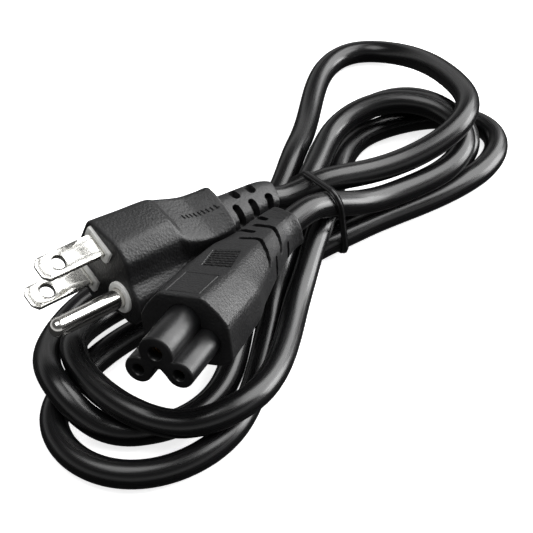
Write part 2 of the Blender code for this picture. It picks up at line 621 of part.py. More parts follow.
def clover(grow):
    """Outline (Y, Z) of the cloverleaf: three lobes and the webs between them."""
    lobes = ((CONTACT_PITCH / 2, 0.0, LOBE_R), (0.0, EARTH_Z, EARTH_LOBE_R), (-CONTACT_PITCH / 2, 0.0, LOBE_R))
    a = np.linspace(-np.pi, np.pi, 721)[:-1]
    middle = np.array([0.0, 2.2])
    ray = np.column_stack([np.cos(a), np.sin(a)])
    reach = np.zeros(len(a))
    for y, z, r in lobes:
        c = np.array([y, z]) - middle
        along = ray @ c
        inside = (r + grow) ** 2 - (c @ c - along ** 2)
        hit = inside > 0
        reach[hit] = np.maximum(reach[hit], along[hit] + np.sqrt(inside[hit]))
    floor = 0.9 + grow
    down = ray[:, 1] < -1e-6
    web = np.full(len(a), 2.6 + grow)
    web[down] = np.minimum(web[down], floor / -ray[down, 1])
    reach = np.maximum(reach, web)
    p = middle + ray * reach[:, None]
    step = np.r_[0, np.cumsum(np.linalg.norm(np.diff(np.vstack([p, p[:1]]), axis=0), axis=1))]
    even_at = np.linspace(0, step[-1], 97)[:-1]
    closed = np.vstack([p, p[:1]])
    return np.column_stack([np.interp(even_at, step, closed[:, k]) for k in range(2)])


def build_connector():
    """The connector's overmould, cloverleaf nose and sleeve contacts."""
    rings = con_rings()
    body = solid("connector_body", *loft(rings), PVC, CON)
    shape = clover(GAP)
    recess = [np.column_stack([np.full(len(shape), x), shape]) for x in (-NOSE_REACH - NOSE_ROOT - GAP, 1.0)]
    combine(body, solid("recess", *loft(recess), None, CON, 0))
    for line in CON_SLOTS:
        combine(body, solid("slot", *slot(rings, line, 0.17, 1.2), None, CON, 0))

    shape = clover(0.0)
    inner = (shape - (0, 2.2)) * 0.94 + (0, 2.2)
    nose = [np.column_stack([np.full(len(s), x), s])
            for x, s in ((-NOSE_REACH - NOSE_ROOT, shape), (-0.5, shape), (0.0, inner))]
    nose = solid("connector_nose", *loft(nose), INSERT, CON)
    for name, y, z, hole in (("contact_line", -CONTACT_PITCH / 2, 0.0, HOLE_D),
                             ("contact_neutral", CONTACT_PITCH / 2, 0.0, HOLE_D),
                             ("contact_earth", 0.0, EARTH_Z, EARTH_HOLE_D)):
        seat = CONTACT_D / 2 + GAP
        far = -HOLE_LIP - GAP - CONTACT_LEN - GAP
        bore = lathe([(far, seat), (-HOLE_LIP, seat), (-HOLE_LIP + 0.01, hole / 2), (1.0, hole / 2)],
                     y=y, z=z, sides=28)
        combine(nose, solid("bore", *bore, None, CON, 0))
        sleeve = solid(name, *cylinder(far + GAP, -HOLE_LIP - GAP, CONTACT_D / 2, y, z, 28), BRONZE, CON)
        combine(sleeve, solid("bore", *cylinder(far - 1, 1, CONTACT_BORE_D / 2, y, z, 28), None, CON, 0))


def cord_exit(place, at, out):
    """Where the sheath starts at a relief's end, and the end of its straight stub."""
    m = np.array(place)
    out = np.array(out) / np.linalg.norm(out)
    return [m[:3, :3] @ (np.array(at) + d * out) + m[:3, 3] for d in (GAP, GAP + CORD_STUB)]


def build_cord():
    """One sheathed cord from the plug's relief to the connector's, coiled and lying on the floor."""
    start, after = cord_exit(PLUG, PLUG_END, PLUG_END_DIR)
    end, before = cord_exit(CON, CON_END, CON_END_DIR)
    settled = settle(np.vstack([start, after, ROUTE, before, end]))
    corners, at = thin(settled, int(CORNER_COUNT))
    corners[1] = after
    corners[-2] = before
    corners = part_strands(corners, at)
    curve = bpy.data.curves.new("power_cord", "CURVE")
    curve.dimensions = "3D"
    spline = curve.splines.new("POLY")
    spline.points.add(len(corners) - 1)
    for point, co in zip(spline.points, (corners - (*MIDDLE, 0.0)) * MM):
        point.co = (*co, 1.0)
    curve.bevel_depth = CORD_D / 2 * MM
    curve.bevel_resolution = int(SIDE_COUNT) // 4 - 1
    curve.use_fill_caps = True
    curve.materials.append(SHEATH)
    obj = bpy.data.objects.new("power_cord", curve)
    bpy.context.scene.collection.objects.link(obj)
    return settled, corners


def hull(points):
    """Convex outline of flat points, anticlockwise."""
    p = points[np.lexsort((points[:, 1], points[:, 0]))]

    def half(seq):
        out = []
        for v in seq:
            while len(out) > 1:
                a = out[-1] - out[-2]
                b = v - out[-2]
                if a[0] * b[1] - a[1] * b[0] > 0:
                    break
                out.pop()
            out.append(v)
        return out[:-1]

    return np.array(half(p) + half(p[::-1]))


def build_tie(strands):
    """The ribbon drawn tight round every strand that crosses its plane."""
    n = np.array(TIE_NORMAL) / np.linalg.norm(TIE_NORMAL)
    at = np.array(TIE_AT)
    side = np.cross(n, (0, 0, 1))
    side /= np.linalg.norm(side)
    up = np.cross(side, n)
    fine = np.vstack([even(q, step=0.5) for q in strands])
    t = np.vstack([np.gradient(even(q, step=0.5), axis=0) for q in strands])
    t /= np.linalg.norm(t, axis=1)[:, None]
    e1 = np.cross(t, (0, 0, 1.0))
    e1 /= np.linalg.norm(e1, axis=1)[:, None]
    e2 = np.cross(t, e1)
    a = np.linspace(0, 2 * np.pi, 32, endpoint=False)
    clear = CORD_D / 2 + GAP + 0.05
    ring = np.cos(a)[None, :, None] * e1[:, None] + np.sin(a)[None, :, None] * e2[:, None]
    skin = (fine[:, None] + clear * ring).reshape(-1, 3)
    near = (np.abs((skin - at) @ n) < TIE_W / 2 + 0.3) & (np.linalg.norm(skin - at, axis=1) < 40)
    flat = np.column_stack([(skin[near] - at) @ side, (skin[near] - at) @ up])
    loop = hull(flat)
    loop = np.vstack([loop, loop[:1]])
    reach = np.r_[0, np.cumsum(np.linalg.norm(np.diff(loop, axis=0), axis=1))]
    read = np.linspace(0, reach[-1], 73)[:-1]
    loop = np.column_stack([np.interp(read, reach, loop[:, k]) for k in range(2)])
    away = np.roll(loop, 1, axis=0) - np.roll(loop, -1, axis=0)
    away = np.column_stack([-away[:, 1], away[:, 0]])
    away /= np.linalg.norm(away, axis=1)[:, None]
    w = TIE_W / 2
    section = ((0.0, -w), (TIE_T * 0.6, -w), (TIE_T * 0.7, -w / 2), (TIE_T * 1.3, -w / 4), (TIE_T * 1.3, w / 4),
               (TIE_T * 0.7, w / 2), (TIE_T * 0.6, w), (0.0, w))
    rings = []
    for p, o in zip(loop, away):
        ring = []
        for thick, across in section:
            q = p + o * thick
            ring.append(at + q[0] * side + q[1] * up + across * n)
        rings.append(ring)
    solid("twist_tie", *loft(rings, closed=True), RIBBON)


build_plug()
build_connector()
build_tie(build_cord())
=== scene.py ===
"""Dressed scene of the cloverleaf power cord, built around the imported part.

Named sizes are in millimetres and become metres once, through MM. The plug's own axes are X towards
the blade tips, Y from the blades to the ground pin, Z from one blade to the other. The connector's
own axes are X out of the nose, Y to its right, Z towards its earth contact. Each moulding is one
surface on a grid: outlines of the section follow a path, and shallow relief is pressed into them.
"""

import logging
from dataclasses import dataclass
from enum import Enum
from typing import Optional, Sequence

import bpy
import numpy as np
from mathutils import Euler, Matrix, Vector

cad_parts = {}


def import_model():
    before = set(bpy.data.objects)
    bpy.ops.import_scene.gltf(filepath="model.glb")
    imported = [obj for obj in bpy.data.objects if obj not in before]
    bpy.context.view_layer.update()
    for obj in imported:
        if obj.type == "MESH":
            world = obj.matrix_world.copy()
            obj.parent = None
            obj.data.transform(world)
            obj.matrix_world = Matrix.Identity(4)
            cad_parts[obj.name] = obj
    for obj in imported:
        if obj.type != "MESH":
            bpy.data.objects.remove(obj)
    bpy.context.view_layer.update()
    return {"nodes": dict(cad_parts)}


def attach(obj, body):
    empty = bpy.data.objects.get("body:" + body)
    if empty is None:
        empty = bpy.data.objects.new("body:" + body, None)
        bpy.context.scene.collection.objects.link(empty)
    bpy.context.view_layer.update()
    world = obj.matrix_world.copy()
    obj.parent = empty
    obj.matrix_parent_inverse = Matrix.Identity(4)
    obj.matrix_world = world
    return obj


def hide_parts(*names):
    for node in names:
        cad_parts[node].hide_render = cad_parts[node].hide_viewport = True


LOG = logging.getLogger("power_cord")

MM = 0.001
MIDDLE = (-0.62, 0.11, 0.0)    # the part's middle on the floor, where the route's own axes have it
IMAGE_SIDE = 533
MOULD_CREASE = 38.0            # degrees; sharper edges of a moulding's relief stay hard
BLOCK_COLUMNS = 520            # columns round the plug's block
BODY_COLUMNS = 560             # columns round the connector's body
TINY = 1e-9

# The hank's route, millimetres: guide points read from the plug to the connector
ROUTE = [
    # along the top of the bundle and round the highest far loop
    (1, -2, 17.8), (5, 0, 17.6), (10, 2.6, 17.7), (17, 6.5, 18.4), (28, 12, 19.6), (39, 19, 20.8),
    (46, 24, 23), (50, 31, 24), (49, 46, 20), (44, 66, 14), (35, 81, 8), (24, 85, 4.5),
    (14, 80, 3.5), (9, 66, 4), (5, 45, 7), (2, 27, 10), (0, 15, 10), (-3, 5, 7),
    # under the plug and round the first near loop
    (-9, -3, 3.5), (-20, -12, 3.5), (-33, -17, 3.5), (-45, -21, 3.5), (-53, -28, 4), (-58, -38, 6),
    (-60, -50, 9), (-56, -63, 10), (-49, -69, 8), (-41, -71, 4), (-33, -71, 3.5), (-25, -68, 3.5),
    (-19, -61, 3.5), (-14, -50, 3.5), (-11, -37, 4), (-10, -28, 5), (-8.4, -18, 7), (-6, -11, 9),
    (-2.4, -1, 5),
    # second far loop
    (4.2, 11.6, 3.5), (7.4, 23, 3.5), (10, 34, 3.5), (14, 43, 6.5), (21, 49, 8.5), (30, 50, 10),
    (40, 49, 10), (49, 44, 10), (53, 36, 10), (50, 29, 7), (41, 22, 4), (29, 14, 3.5), (17, 7, 3.5),
    # second near loop
    (5, -1, 3.5), (-8, -10, 3.5), (-21, -17, 3.5), (-34, -24, 3.5), (-46, -30, 4),
    (-52, -43, 8), (-53, -54, 10), (-49, -63, 10), (-41, -69, 10), (-33, -74, 10), (-24, -74, 10),
    (-15, -72, 10), (-8, -64, 10), (-4, -50, 8.5), (-1, -36, 8.5), (1, -23, 10), (3, -10, 10),
    # third far loop, the lowest
    (9, 8, 4), (12, 23, 3.5), (17, 37, 3.5), (26, 45, 3.5), (38, 49, 3.5), (49, 50, 3.5),
    (58, 47, 3.5), (61, 39, 3.5), (58, 30, 3.5), (48, 21, 3.5), (37, 12, 3.5), (25, 5, 3.5),
    # third near loop, the outermost
    (16, -1, 3.5), (4, -9, 3.5), (-9, -19, 3.5), (-25, -29, 3.5), (-38, -38, 3.5), (-48, -47, 3.5),
    (-54, -56, 3.5), (-57, -66, 3.5), (-55, -74, 3.5), (-49, -81, 3.5), (-41, -84, 3.5),
    (-32, -84, 3.5), (-23, -79, 3.5), (-15, -72, 3.5), (-10, -62, 3.5), (-8, -47, 3.5), (-6, -33, 5),
    (-4, -24, 8.5), (-0.8, -14, 10), (3.6, -1, 10), (7, 12, 10), (9, 22, 10), (10, 30, 12),
    # last far loop and back to the connector
    (13, 36, 14.5), (21, 41, 17), (30, 45, 17), (40, 43, 17), (48, 35, 17), (50, 27, 16),
    (44, 18, 14), (33, 10, 13), (21, 1, 15), (13, -6, 19.5), (8, -10, 22),
]


# Geometry helpers

def unit(v: Sequence[float]) -> np.ndarray:
    """The vector at length one."""
    v = np.asarray(v, float)
    return v / np.linalg.norm(v)


def unit_rows(v: np.ndarray) -> np.ndarray:
    """Each row at length one."""
    return v / np.linalg.norm(v, axis=1)[:, None]


def run_length(points: np.ndarray) -> np.ndarray:
    """Distance along a line to each of its points."""
    return np.r_[0, np.linalg.norm(np.diff(points, axis=0), axis=1).cumsum()]


def read_line(at: np.ndarray, reach: np.ndarray, points: np.ndarray) -> np.ndarray:
    """Points of a line at these distances along it, which reach gives for its own points."""
    return np.column_stack([np.interp(at, reach, column) for column in points.T])


def place_matrix(at: Sequence[float], turn: Sequence[float]) -> np.ndarray:
    """Placement of a sub-assembly's own axes in the part.

    Args:
        at: Origin of the axes, millimetres.
        turn: Angles about X, then Y, then Z, degrees.

    Returns:
        A 4 by 4 matrix in millimetres.
    """
    turned = Euler([np.radians(a) for a in turn]).to_matrix().to_4x4()
    return np.array(Matrix.Translation(Vector(at)) @ turned)


def move(points: np.ndarray, place: Optional[np.ndarray]) -> np.ndarray:
    """Points carried by a 4 by 4 placement, or left alone where there is none.

    Args:
        points: Points, any number of rows by three.
        place: Placement, millimetres, or None.

    Returns:
        The points in the part's axes.
    """
    if place is None:
        return points
    return points @ place[:3, :3].T + place[:3, 3]


def even(points: np.ndarray, step: float) -> np.ndarray:
    """The same curve, read at even steps of its length."""
    reach = run_length(points)
    return read_line(np.linspace(0, reach[-1], int(round(reach[-1] / step)) + 1), reach, points)


def even_loop(points: np.ndarray, count: int) -> np.ndarray:
    """A closed outline, read at this many even steps of its length.

    Args:
        points: The outline's points.
        count: Points wanted.

    Returns:
        The new points.
    """
    closed = np.vstack([points, points[:1]])
    reach = run_length(closed)
    return read_line(np.linspace(0, reach[-1], count, endpoint=False), reach, closed)


def smooth_curve(points: Sequence[Sequence[float]], step: float) -> np.ndarray:
    """A smooth curve through the points, its knots spaced by the square root of their distances.

    Args:
        points: Guide points.
        step: Distance between the points that come back.

    Returns:
        An array of points, one row each.
    """
    points = np.asarray(points, float)
    ends = np.vstack([2 * points[0] - points[1], points, 2 * points[-1] - points[-2]])
    knots = np.sqrt(np.linalg.norm(np.diff(ends, axis=0), axis=1))
    out = []
    for i in range(1, len(ends) - 2):
        t1 = knots[i - 1]
        t2 = t1 + knots[i]
        t3 = t2 + knots[i + 1]
        p0, p1, p2, p3 = ends[i - 1:i + 3]
        t = np.linspace(t1, t2, 24, endpoint=False)[:, None]
        a1 = (t1 - t) / t1 * p0 + t / t1 * p1
        a2 = (t2 - t) / (t2 - t1) * p1 + (t - t1) / (t2 - t1) * p2
        a3 = (t3 - t) / (t3 - t2) * p2 + (t - t2) / (t3 - t2) * p3
        b1 = (t2 - t) / t2 * a1 + t / t2 * a2
        b2 = (t3 - t) / (t3 - t1) * a2 + (t - t1) / (t3 - t1) * a3
        out.append((t2 - t) / (t2 - t1) * b1 + (t - t1) / (t2 - t1) * b2)
    out.append(ends[-2][None])
    return even(np.vstack(out), step)


def ease(points: np.ndarray, width: float) -> np.ndarray:
    """Take the short kinks out of an even curve's plan and keep its long bends.

    The plan is blurred with bell-shaped weights, b, and comes back as 2b less b blurred again.

    Args:
        points: An even curve.
        width: Width of the bell, in points.

    Returns:
        The eased curve, with its heights as they were.
    """
    span = int(4 * width)
    k = np.exp(-(np.arange(-span, span + 1) / width) ** 2 / 2)
    k /= k.sum()

    def blur(p: np.ndarray) -> np.ndarray:
        """The curve blurred, with both ends held by turning it about them."""
        long = np.vstack([2 * p[0] - p[span:0:-1], p, 2 * p[-1] - p[-2:-span - 2:-1]])
        return np.column_stack([np.convolve(long[:, m], k, "valid") for m in range(3)])

    once = blur(points)
    eased = 2 * once - blur(once)
    eased[:, 2] = points[:, 2]
    return eased


def monotone(at: np.ndarray, values: np.ndarray, read: np.ndarray) -> np.ndarray:
    """Smooth interpolation that never overshoots its keys.

    Each span is a cubic whose end slopes are the weighted harmonic mean of the slopes on both
    sides, or zero where these differ in sign.

    Args:
        at: Key positions, rising.
        values: Key values, one row per position.
        read: Positions to read.

    Returns:
        One row of values per position read.
    """
    values = values.reshape(len(at), -1)
    gap = np.diff(at)[:, None]
    slope = np.diff(values, axis=0) / gap
    m = np.vstack([slope[:1], np.zeros_like(slope[1:]), slope[-1:]])
    same = slope[1:] * slope[:-1] > 0
    wa = 2 * gap[1:] + gap[:-1]
    wb = gap[1:] + 2 * gap[:-1]
    safe = np.where(same, 1, 0)
    mean = (wa + wb) / (wa / np.where(same, slope[:-1], 1) + wb / np.where(same, slope[1:], 1))
    m[1:-1] = mean * safe
    k = np.clip(np.searchsorted(at, read) - 1, 0, len(at) - 2)
    h = gap[k]
    t = np.clip((read - at[k]) / gap[k, 0], 0, 1)[:, None]
    h00 = 2 * t ** 3 - 3 * t ** 2 + 1
    h10 = t ** 3 - 2 * t ** 2 + t
    h11 = t ** 3 - t ** 2
    return h00 * values[k] + h10 * h * m[k] + (1 - h00) * values[k + 1] + h11 * h * m[k + 1]


def smoothstep(low: float, high: float, x: np.ndarray) -> np.ndarray:
    """An S-curve from 0 at low to 1 at high."""
    t = np.clip((x - low) / (high - low), 0, 1)
    return t * t * (3 - 2 * t)


def rounded_outline(keys: Sequence[Sequence[float]]) -> np.ndarray:
    """A closed outline from half an outline of key points, mirrored and with its corners cut.

    Args:
        keys: Half an outline, from one side of the mirror to the other.

    Returns:
        The whole outline.
    """
    half = np.asarray(keys, float)
    p = np.vstack([half, half[1:-1][::-1] * (1, -1)])
    for cut in (0.16, 0.2, 0.25, 0.25):
        after = np.roll(p, -1, axis=0)
        p = np.stack([(1 - cut) * p + cut * after, cut * p + (1 - cut) * after], axis=1).reshape(-1, 2)
    return p


def even_columns(keys: np.ndarray, count: int) -> tuple[np.ndarray, np.ndarray]:
    """The same outlines with columns at even steps of their mean girth.

    Args:
        keys: Outlines, one after another, that share their columns.
        count: Columns wanted.

    Returns:
        The new outlines, and each column's turn round the old ones, from -0.5 to 0.5.
    """
    n = keys.shape[1]
    closed = np.concatenate([keys, keys[:, :1]], axis=1)
    step = np.linalg.norm(np.diff(closed, axis=1), axis=2).mean(axis=0)
    reach = np.r_[0, np.cumsum(step)]
    at = np.interp(np.linspace(0, reach[-1], count, endpoint=False), reach, np.arange(n + 1))
    out = np.array([np.column_stack([np.interp(at, np.arange(n + 1), c[:, k]) for k in range(2)])
                    for c in closed])
    return out, (at / n + 0.5) % 1 - 0.5


def inset(outline: np.ndarray, by: float) -> np.ndarray:
    """A closed outline moved inwards along its own normals.

    Args:
        outline: The outline.
        by: How far.

    Returns:
        The outline inside it.
    """
    t = np.roll(outline, -1, axis=0) - np.roll(outline, 1, axis=0)
    n = np.column_stack([t[:, 1], -t[:, 0]])
    n /= np.maximum(np.linalg.norm(n, axis=1), TINY)[:, None]
    out = np.sign(((outline - outline.mean(axis=0)) * n).sum())
    return outline - out * by * n


def pull_in(shape: np.ndarray, depth: np.ndarray) -> np.ndarray:
    """An outline's points moved inwards along its normals, each by its own depth."""
    return shape + (inset(shape, 1.0) - shape) * depth[:, None]


def surface(name: str, rings: np.ndarray, place: Optional[np.ndarray] = None, closed: bool = False,
            crease: float = 50.0, uv: Optional[np.ndarray] = None) -> bpy.types.Object:
    """A closed mesh on a grid of points.

    Columns always run round and close. Rows either close too, which gives a ring, or end in a point
    at the middle of the first and of the last ring. The faces are turned so that the volume they
    enclose is positive.

    Args:
        name: Name of the piece.
        rings: Points, rows by columns by three, millimetres.
        place: Placement of the points in the part, or None.
        closed: Whether the rows close.
        crease: Edges where faces meet at more than this many degrees are sharp.
        uv: Rows by columns by two, or None.

    Returns:
        The new object, at the origin, with its place in its mesh.
    """
    rows, cols = rings.shape[:2]
    points = rings.reshape(-1, 3)
    r = np.arange(rows if closed else rows - 1)[:, None]
    c = np.arange(cols)[None]
    s = (r + 1) % rows
    e = (c + 1) % cols
    quads = np.stack([r * cols + c, r * cols + e, s * cols + e, s * cols + c], axis=-1).reshape(-1, 4)
    tris = np.empty((0, 3), int)
    if not closed:
        points = np.vstack([points, rings[0].mean(axis=0), rings[-1].mean(axis=0)])
        c = np.arange(cols)
        e = (c + 1) % cols
        first = rows * cols
        last = (rows - 1) * cols
        tris = np.vstack([np.column_stack([np.full(cols, first), e, c]),
                          np.column_stack([np.full(cols, first + 1), last + c, last + e])])
    points = (move(points, place) - MIDDLE) * MM
    a, b, d, f = (points[quads[:, k]] for k in range(4))
    volume = np.einsum("ij,ij->", a, np.cross(b, d)) + np.einsum("ij,ij->", a, np.cross(d, f))
    if len(tris):
        a, b, d = (points[tris[:, k]] for k in range(3))
        volume += np.einsum("ij,ij->", a, np.cross(b, d))
    if volume < 0:
        quads = quads[:, ::-1]
        tris = tris[:, ::-1]
    mesh = bpy.data.meshes.new(name)
    mesh.vertices.add(len(points))
    mesh.vertices.foreach_set("co", points.ravel())
    mesh.loops.add(quads.size + tris.size)
    mesh.loops.foreach_set("vertex_index", np.r_[quads.ravel(), tris.ravel()].astype(np.int32))
    mesh.polygons.add(len(quads) + len(tris))
    starts = np.r_[np.arange(len(quads)) * 4, quads.size + np.arange(len(tris)) * 3]
    mesh.polygons.foreach_set("loop_start", starts.astype(np.int32))
    mesh.polygons.foreach_set("use_smooth", np.ones(len(starts), bool))
    mesh.update(calc_edges=True)
    if uv is not None:
        add_uv(mesh, uv, rows, cols)
    mesh.set_sharp_from_angle(angle=np.radians(crease))
    obj = bpy.data.objects.new(name, mesh)
    bpy.context.scene.collection.objects.link(obj)
    return obj


def add_uv(mesh: bpy.types.Mesh, uv: np.ndarray, rows: int, cols: int) -> None:
    """A UV map from a value per grid point, unwrapped where the columns close.

    Args:
        mesh: The mesh of a grid surface.
        uv: Rows by columns by two; the first runs round from 0 to 1.
        rows: Rows of the grid.
        cols: Columns of the grid.
    """
    corner = np.empty(len(mesh.loops), np.int32)
    mesh.loops.foreach_get("vertex_index", corner)
    flat = np.vstack([uv.reshape(-1, 2), uv[0].mean(axis=0), uv[-1].mean(axis=0)])
    values = flat[corner]
    start = np.empty(len(mesh.polygons), np.int32)
    mesh.polygons.foreach_get("loop_start", start)
    total = np.empty(len(mesh.polygons), np.int32)
    mesh.polygons.foreach_get("loop_total", total)
    quad = start[total == 4]
    if len(quad):
        u = values[quad[:, None] + np.arange(4), 0]
        wrap = (u.max(axis=1) - u.min(axis=1) > 0.5)[:, None] & (u < 0.5)
        values[quad[:, None] + np.arange(4), 0] = u + wrap
    layer = mesh.uv_layers.new(name="along")
    layer.data.foreach_set("uv", values.ravel())


def join(name: str, parts: Sequence[bpy.types.Object]) -> bpy.types.Object:
    """Several separate shells as one object.

    Args:
        name: Name of the piece.
        parts: The shells; the first becomes the piece.

    Returns:
        The joined object.
    """
    with bpy.context.temp_override(active_object=parts[0], selected_editable_objects=list(parts)):
        bpy.ops.object.join()
    parts[0].name = name
    parts[0].data.name = name
    return parts[0]


def cut(obj: bpy.types.Object, tools: Sequence[bpy.types.Object],
        crease: float = 40.0) -> bpy.types.Object:
    """Cut closed tools out of a closed piece and apply the result.

    Args:
        obj: The piece.
        tools: Closed meshes, which are removed afterwards.
        crease: Edges above this many degrees are sharp.

    Returns:
        The same object with its new mesh.
    """
    for tool in tools:
        mod = obj.modifiers.new("cut", "BOOLEAN")
        mod.operation = "DIFFERENCE"
        mod.solver = "EXACT"
        mod.object = tool
    deps = bpy.context.evaluated_depsgraph_get()
    mesh = bpy.data.meshes.new_from_object(obj.evaluated_get(deps))
    obj.modifiers.clear()
    obj.data = mesh
    mesh.name = obj.name
    for tool in tools:
        bpy.data.objects.remove(tool, do_unlink=True)
    mesh.polygons.foreach_set("use_smooth", np.ones(len(mesh.polygons), bool))
    mesh.set_sharp_from_angle(angle=np.radians(crease))
    return obj


def lathe_rings(profile: Sequence[Sequence[float]], y: float = 0.0, z: float = 0.0,
                sides: int = 64) -> np.ndarray:
    """Rings of a turned body: a circle of each radius, square to X, round the axis at (y, z).

    Args:
        profile: Pairs of x and radius.
        y: Axis position.
        z: Axis position.
        sides: Points round each ring.

    Returns:
        Rings, rows by sides by three.
    """
    p = np.asarray(profile, float)
    a = np.linspace(0, 2 * np.pi, sides, endpoint=False)
    x = np.broadcast_to(p[:, :1], (len(p), sides))
    return np.stack([x, y + p[:, 1:] * np.cos(a), z + p[:, 1:] * np.sin(a)], axis=-1)


def box_rings(x: Sequence[float], y: Sequence[float], z: Sequence[float]) -> np.ndarray:
    """Two rings that make a block between pairs of limits."""
    ring = np.array([(y[0], z[0]), (y[1], z[0]), (y[1], z[1]), (y[0], z[1])])
    return np.array([np.column_stack([np.full(4, v), ring]) for v in x])


# Materials

def linear(code: str) -> tuple[float, float, float, float]:
    """An sRGB hex colour as linear values with full alpha.

    Args:
        code: The colour, like #12ab34.

    Returns:
        Red, green, blue and alpha.
    """
    rgb = np.array([int(code[k:k + 2], 16) for k in (1, 3, 5)]) / 255
    rgb = np.where(rgb <= 0.04045, rgb / 12.92, ((rgb + 0.055) / 1.055) ** 2.4)
    return (*rgb.tolist(), 1.0)


def node(tree: bpy.types.NodeTree, kind: str, links: Optional[dict] = None,
         **settings: object) -> bpy.types.Node:
    """Add a node with its settings and links.

    Args:
        tree: The material's node tree.
        kind: Node type.
        links: Input name or number to an output socket, or to a plain value.
        settings: Attributes of the node.

    Returns:
        The new node.
    """
    made = tree.nodes.new(kind)
    for key, value in settings.items():
        setattr(made, key, value)
    for key, value in (links or {}).items():
        if isinstance(value, bpy.types.NodeSocket):
            tree.links.new(value, made.inputs[key])
        else:
            made.inputs[key].default_value = value
    return made


def blank(name: str, colour: str) -> tuple[bpy.types.Material, bpy.types.NodeTree, bpy.types.Node]:
    """A material of one colour, its tree and its shader.

    Args:
        name: Name of the material.
        colour: sRGB hex colour.

    Returns:
        The material, its node tree and its main shader node.
    """
    mat = bpy.data.materials.new(name)
    mat.use_nodes = True
    shader = mat.node_tree.nodes["Principled BSDF"]
    shader.inputs["Base Color"].default_value = linear(colour)
    return mat, mat.node_tree, shader


def spread(tree: bpy.types.NodeTree, noise: bpy.types.NodeSocket, low: float, high: float,
           dark: float = 0.3) -> bpy.types.NodeSocket:
    """A noise's middle range, from dark to 0.7, carried to the range from low to high."""
    return node(tree, "ShaderNodeMapRange", {"Value": noise, "From Min": dark, "From Max": 0.7,
                                             "To Min": low, "To Max": high}).outputs["Result"]


def bumps(tree: bpy.types.NodeTree, height: bpy.types.NodeSocket, strength: float, depth_mm: float,
          under: Optional[bpy.types.NodeSocket] = None) -> bpy.types.NodeSocket:
    """The normal of a relief this deep, on top of another one where it is given.

    Args:
        tree: The material's node tree.
        height: The relief's height.
        strength: Share of the relief that shows.
        depth_mm: Height of a value of one.
        under: Normal of the relief below, or None.

    Returns:
        The normal.
    """
    links = {"Height": height, "Strength": strength, "Distance": depth_mm * MM}
    if under is not None:
        links["Normal"] = under
    return node(tree, "ShaderNodeBump", links).outputs["Normal"]


class Coordinates(Enum):
    """What a pattern follows."""

    OBJECT = "Object"
    ALONG = "UV"


@dataclass(frozen=True)
class Moulding:
    """Soft PVC pressed in a spark-eroded steel mould: a very fine, even, matte grain.

    The real grain is about 0.1 mm; it is drawn coarser, because that is less than half a pixel.
    """

    name: str
    colour: str
    roughness: float
    grain_mm: float
    depth_mm: float
    mottle: float = 0.06

    def build(self) -> bpy.types.Material:
        """The material's nodes.

        Returns:
            The finished material.
        """
        mat, tree, shader = blank(self.name, self.colour)
        shader.inputs["IOR"].default_value = 1.52
        where = node(tree, "ShaderNodeTexCoord").outputs[Coordinates.OBJECT.value]
        scale = 1 / (self.grain_mm * MM)
        grain = node(tree, "ShaderNodeTexNoise", {"Vector": where, "Scale": scale,
                                                  "Detail": 2.0, "Roughness": 0.6})
        pits = node(tree, "ShaderNodeTexVoronoi", {"Vector": where, "Scale": 0.6 * scale})
        both = node(tree, "ShaderNodeMath", {0: grain.outputs["Fac"], 1: pits.outputs["Distance"]},
                    operation="ADD")
        tree.links.new(bumps(tree, both.outputs[0], 0.6, self.depth_mm), shader.inputs["Normal"])
        cloud = node(tree, "ShaderNodeTexNoise", {"Vector": where, "Scale": 120.0, "Detail": 3.0})
        rough = spread(tree, cloud.outputs["Fac"], self.roughness - self.mottle,
                       self.roughness + self.mottle)
        tree.links.new(rough, shader.inputs["Roughness"])
        return mat


@dataclass(frozen=True)
class Sheath:
    """Extruded soft PVC: smooth and half glossy, with faint die lines along its length."""

    name: str
    colour: str
    roughness: float
    line_mm: float
    depth_mm: float
    girth_mm: float = 21.4

    def build(self) -> bpy.types.Material:
        """The material's nodes.

        Returns:
            The finished material.
        """
        mat, tree, shader = blank(self.name, self.colour)
        shader.inputs["IOR"].default_value = 1.53
        along = node(tree, "ShaderNodeTexCoord").outputs[Coordinates.ALONG.value]
        # the map runs once round the sheath, and in metres along it
        lines = node(tree, "ShaderNodeMapping",
                     {"Vector": along, "Scale": (self.girth_mm / self.line_mm, 60.0, 1.0)})
        die = node(tree, "ShaderNodeTexNoise",
                   {"Vector": lines.outputs[0], "Scale": 1.0, "Detail": 2.0}, noise_dimensions="2D")
        lumps = node(tree, "ShaderNodeMapping", {"Vector": along, "Scale": (2.0, 90.0, 1.0)})
        sway = node(tree, "ShaderNodeTexNoise",
                    {"Vector": lumps.outputs[0], "Scale": 1.0, "Detail": 1.0}, noise_dimensions="2D")
        fine = bumps(tree, die.outputs["Fac"], 0.35, self.depth_mm)
        tree.links.new(bumps(tree, sway.outputs["Fac"], 0.5, 0.04, fine), shader.inputs["Normal"])
        rough = spread(tree, die.outputs["Fac"], self.roughness - 0.03, self.roughness + 0.05)
        tree.links.new(rough, shader.inputs["Roughness"])
        return mat


@dataclass(frozen=True)
class Plating:
    """Bright nickel over brass: a warm white mirror with faint rubbing marks from use."""

    name: str
    colour: str
    roughness: float
    scratch: float

    def build(self) -> bpy.types.Material:
        """The material's nodes.

        Returns:
            The finished material.
        """
        mat, tree, shader = blank(self.name, self.colour)
        shader.inputs["Metallic"].default_value = 1.0
        where = node(tree, "ShaderNodeTexCoord").outputs[Coordinates.OBJECT.value]
        marks = node(tree, "ShaderNodeTexNoise", {"Vector": where, "Scale": 2600.0, "Detail": 2.0,
                                                  "Roughness": 0.5}).outputs["Fac"]
        rough = spread(tree, marks, self.roughness, self.roughness + self.scratch, 0.35)
        tree.links.new(rough, shader.inputs["Roughness"])
        tree.links.new(bumps(tree, marks, 0.1, 0.003), shader.inputs["Normal"])
        return mat


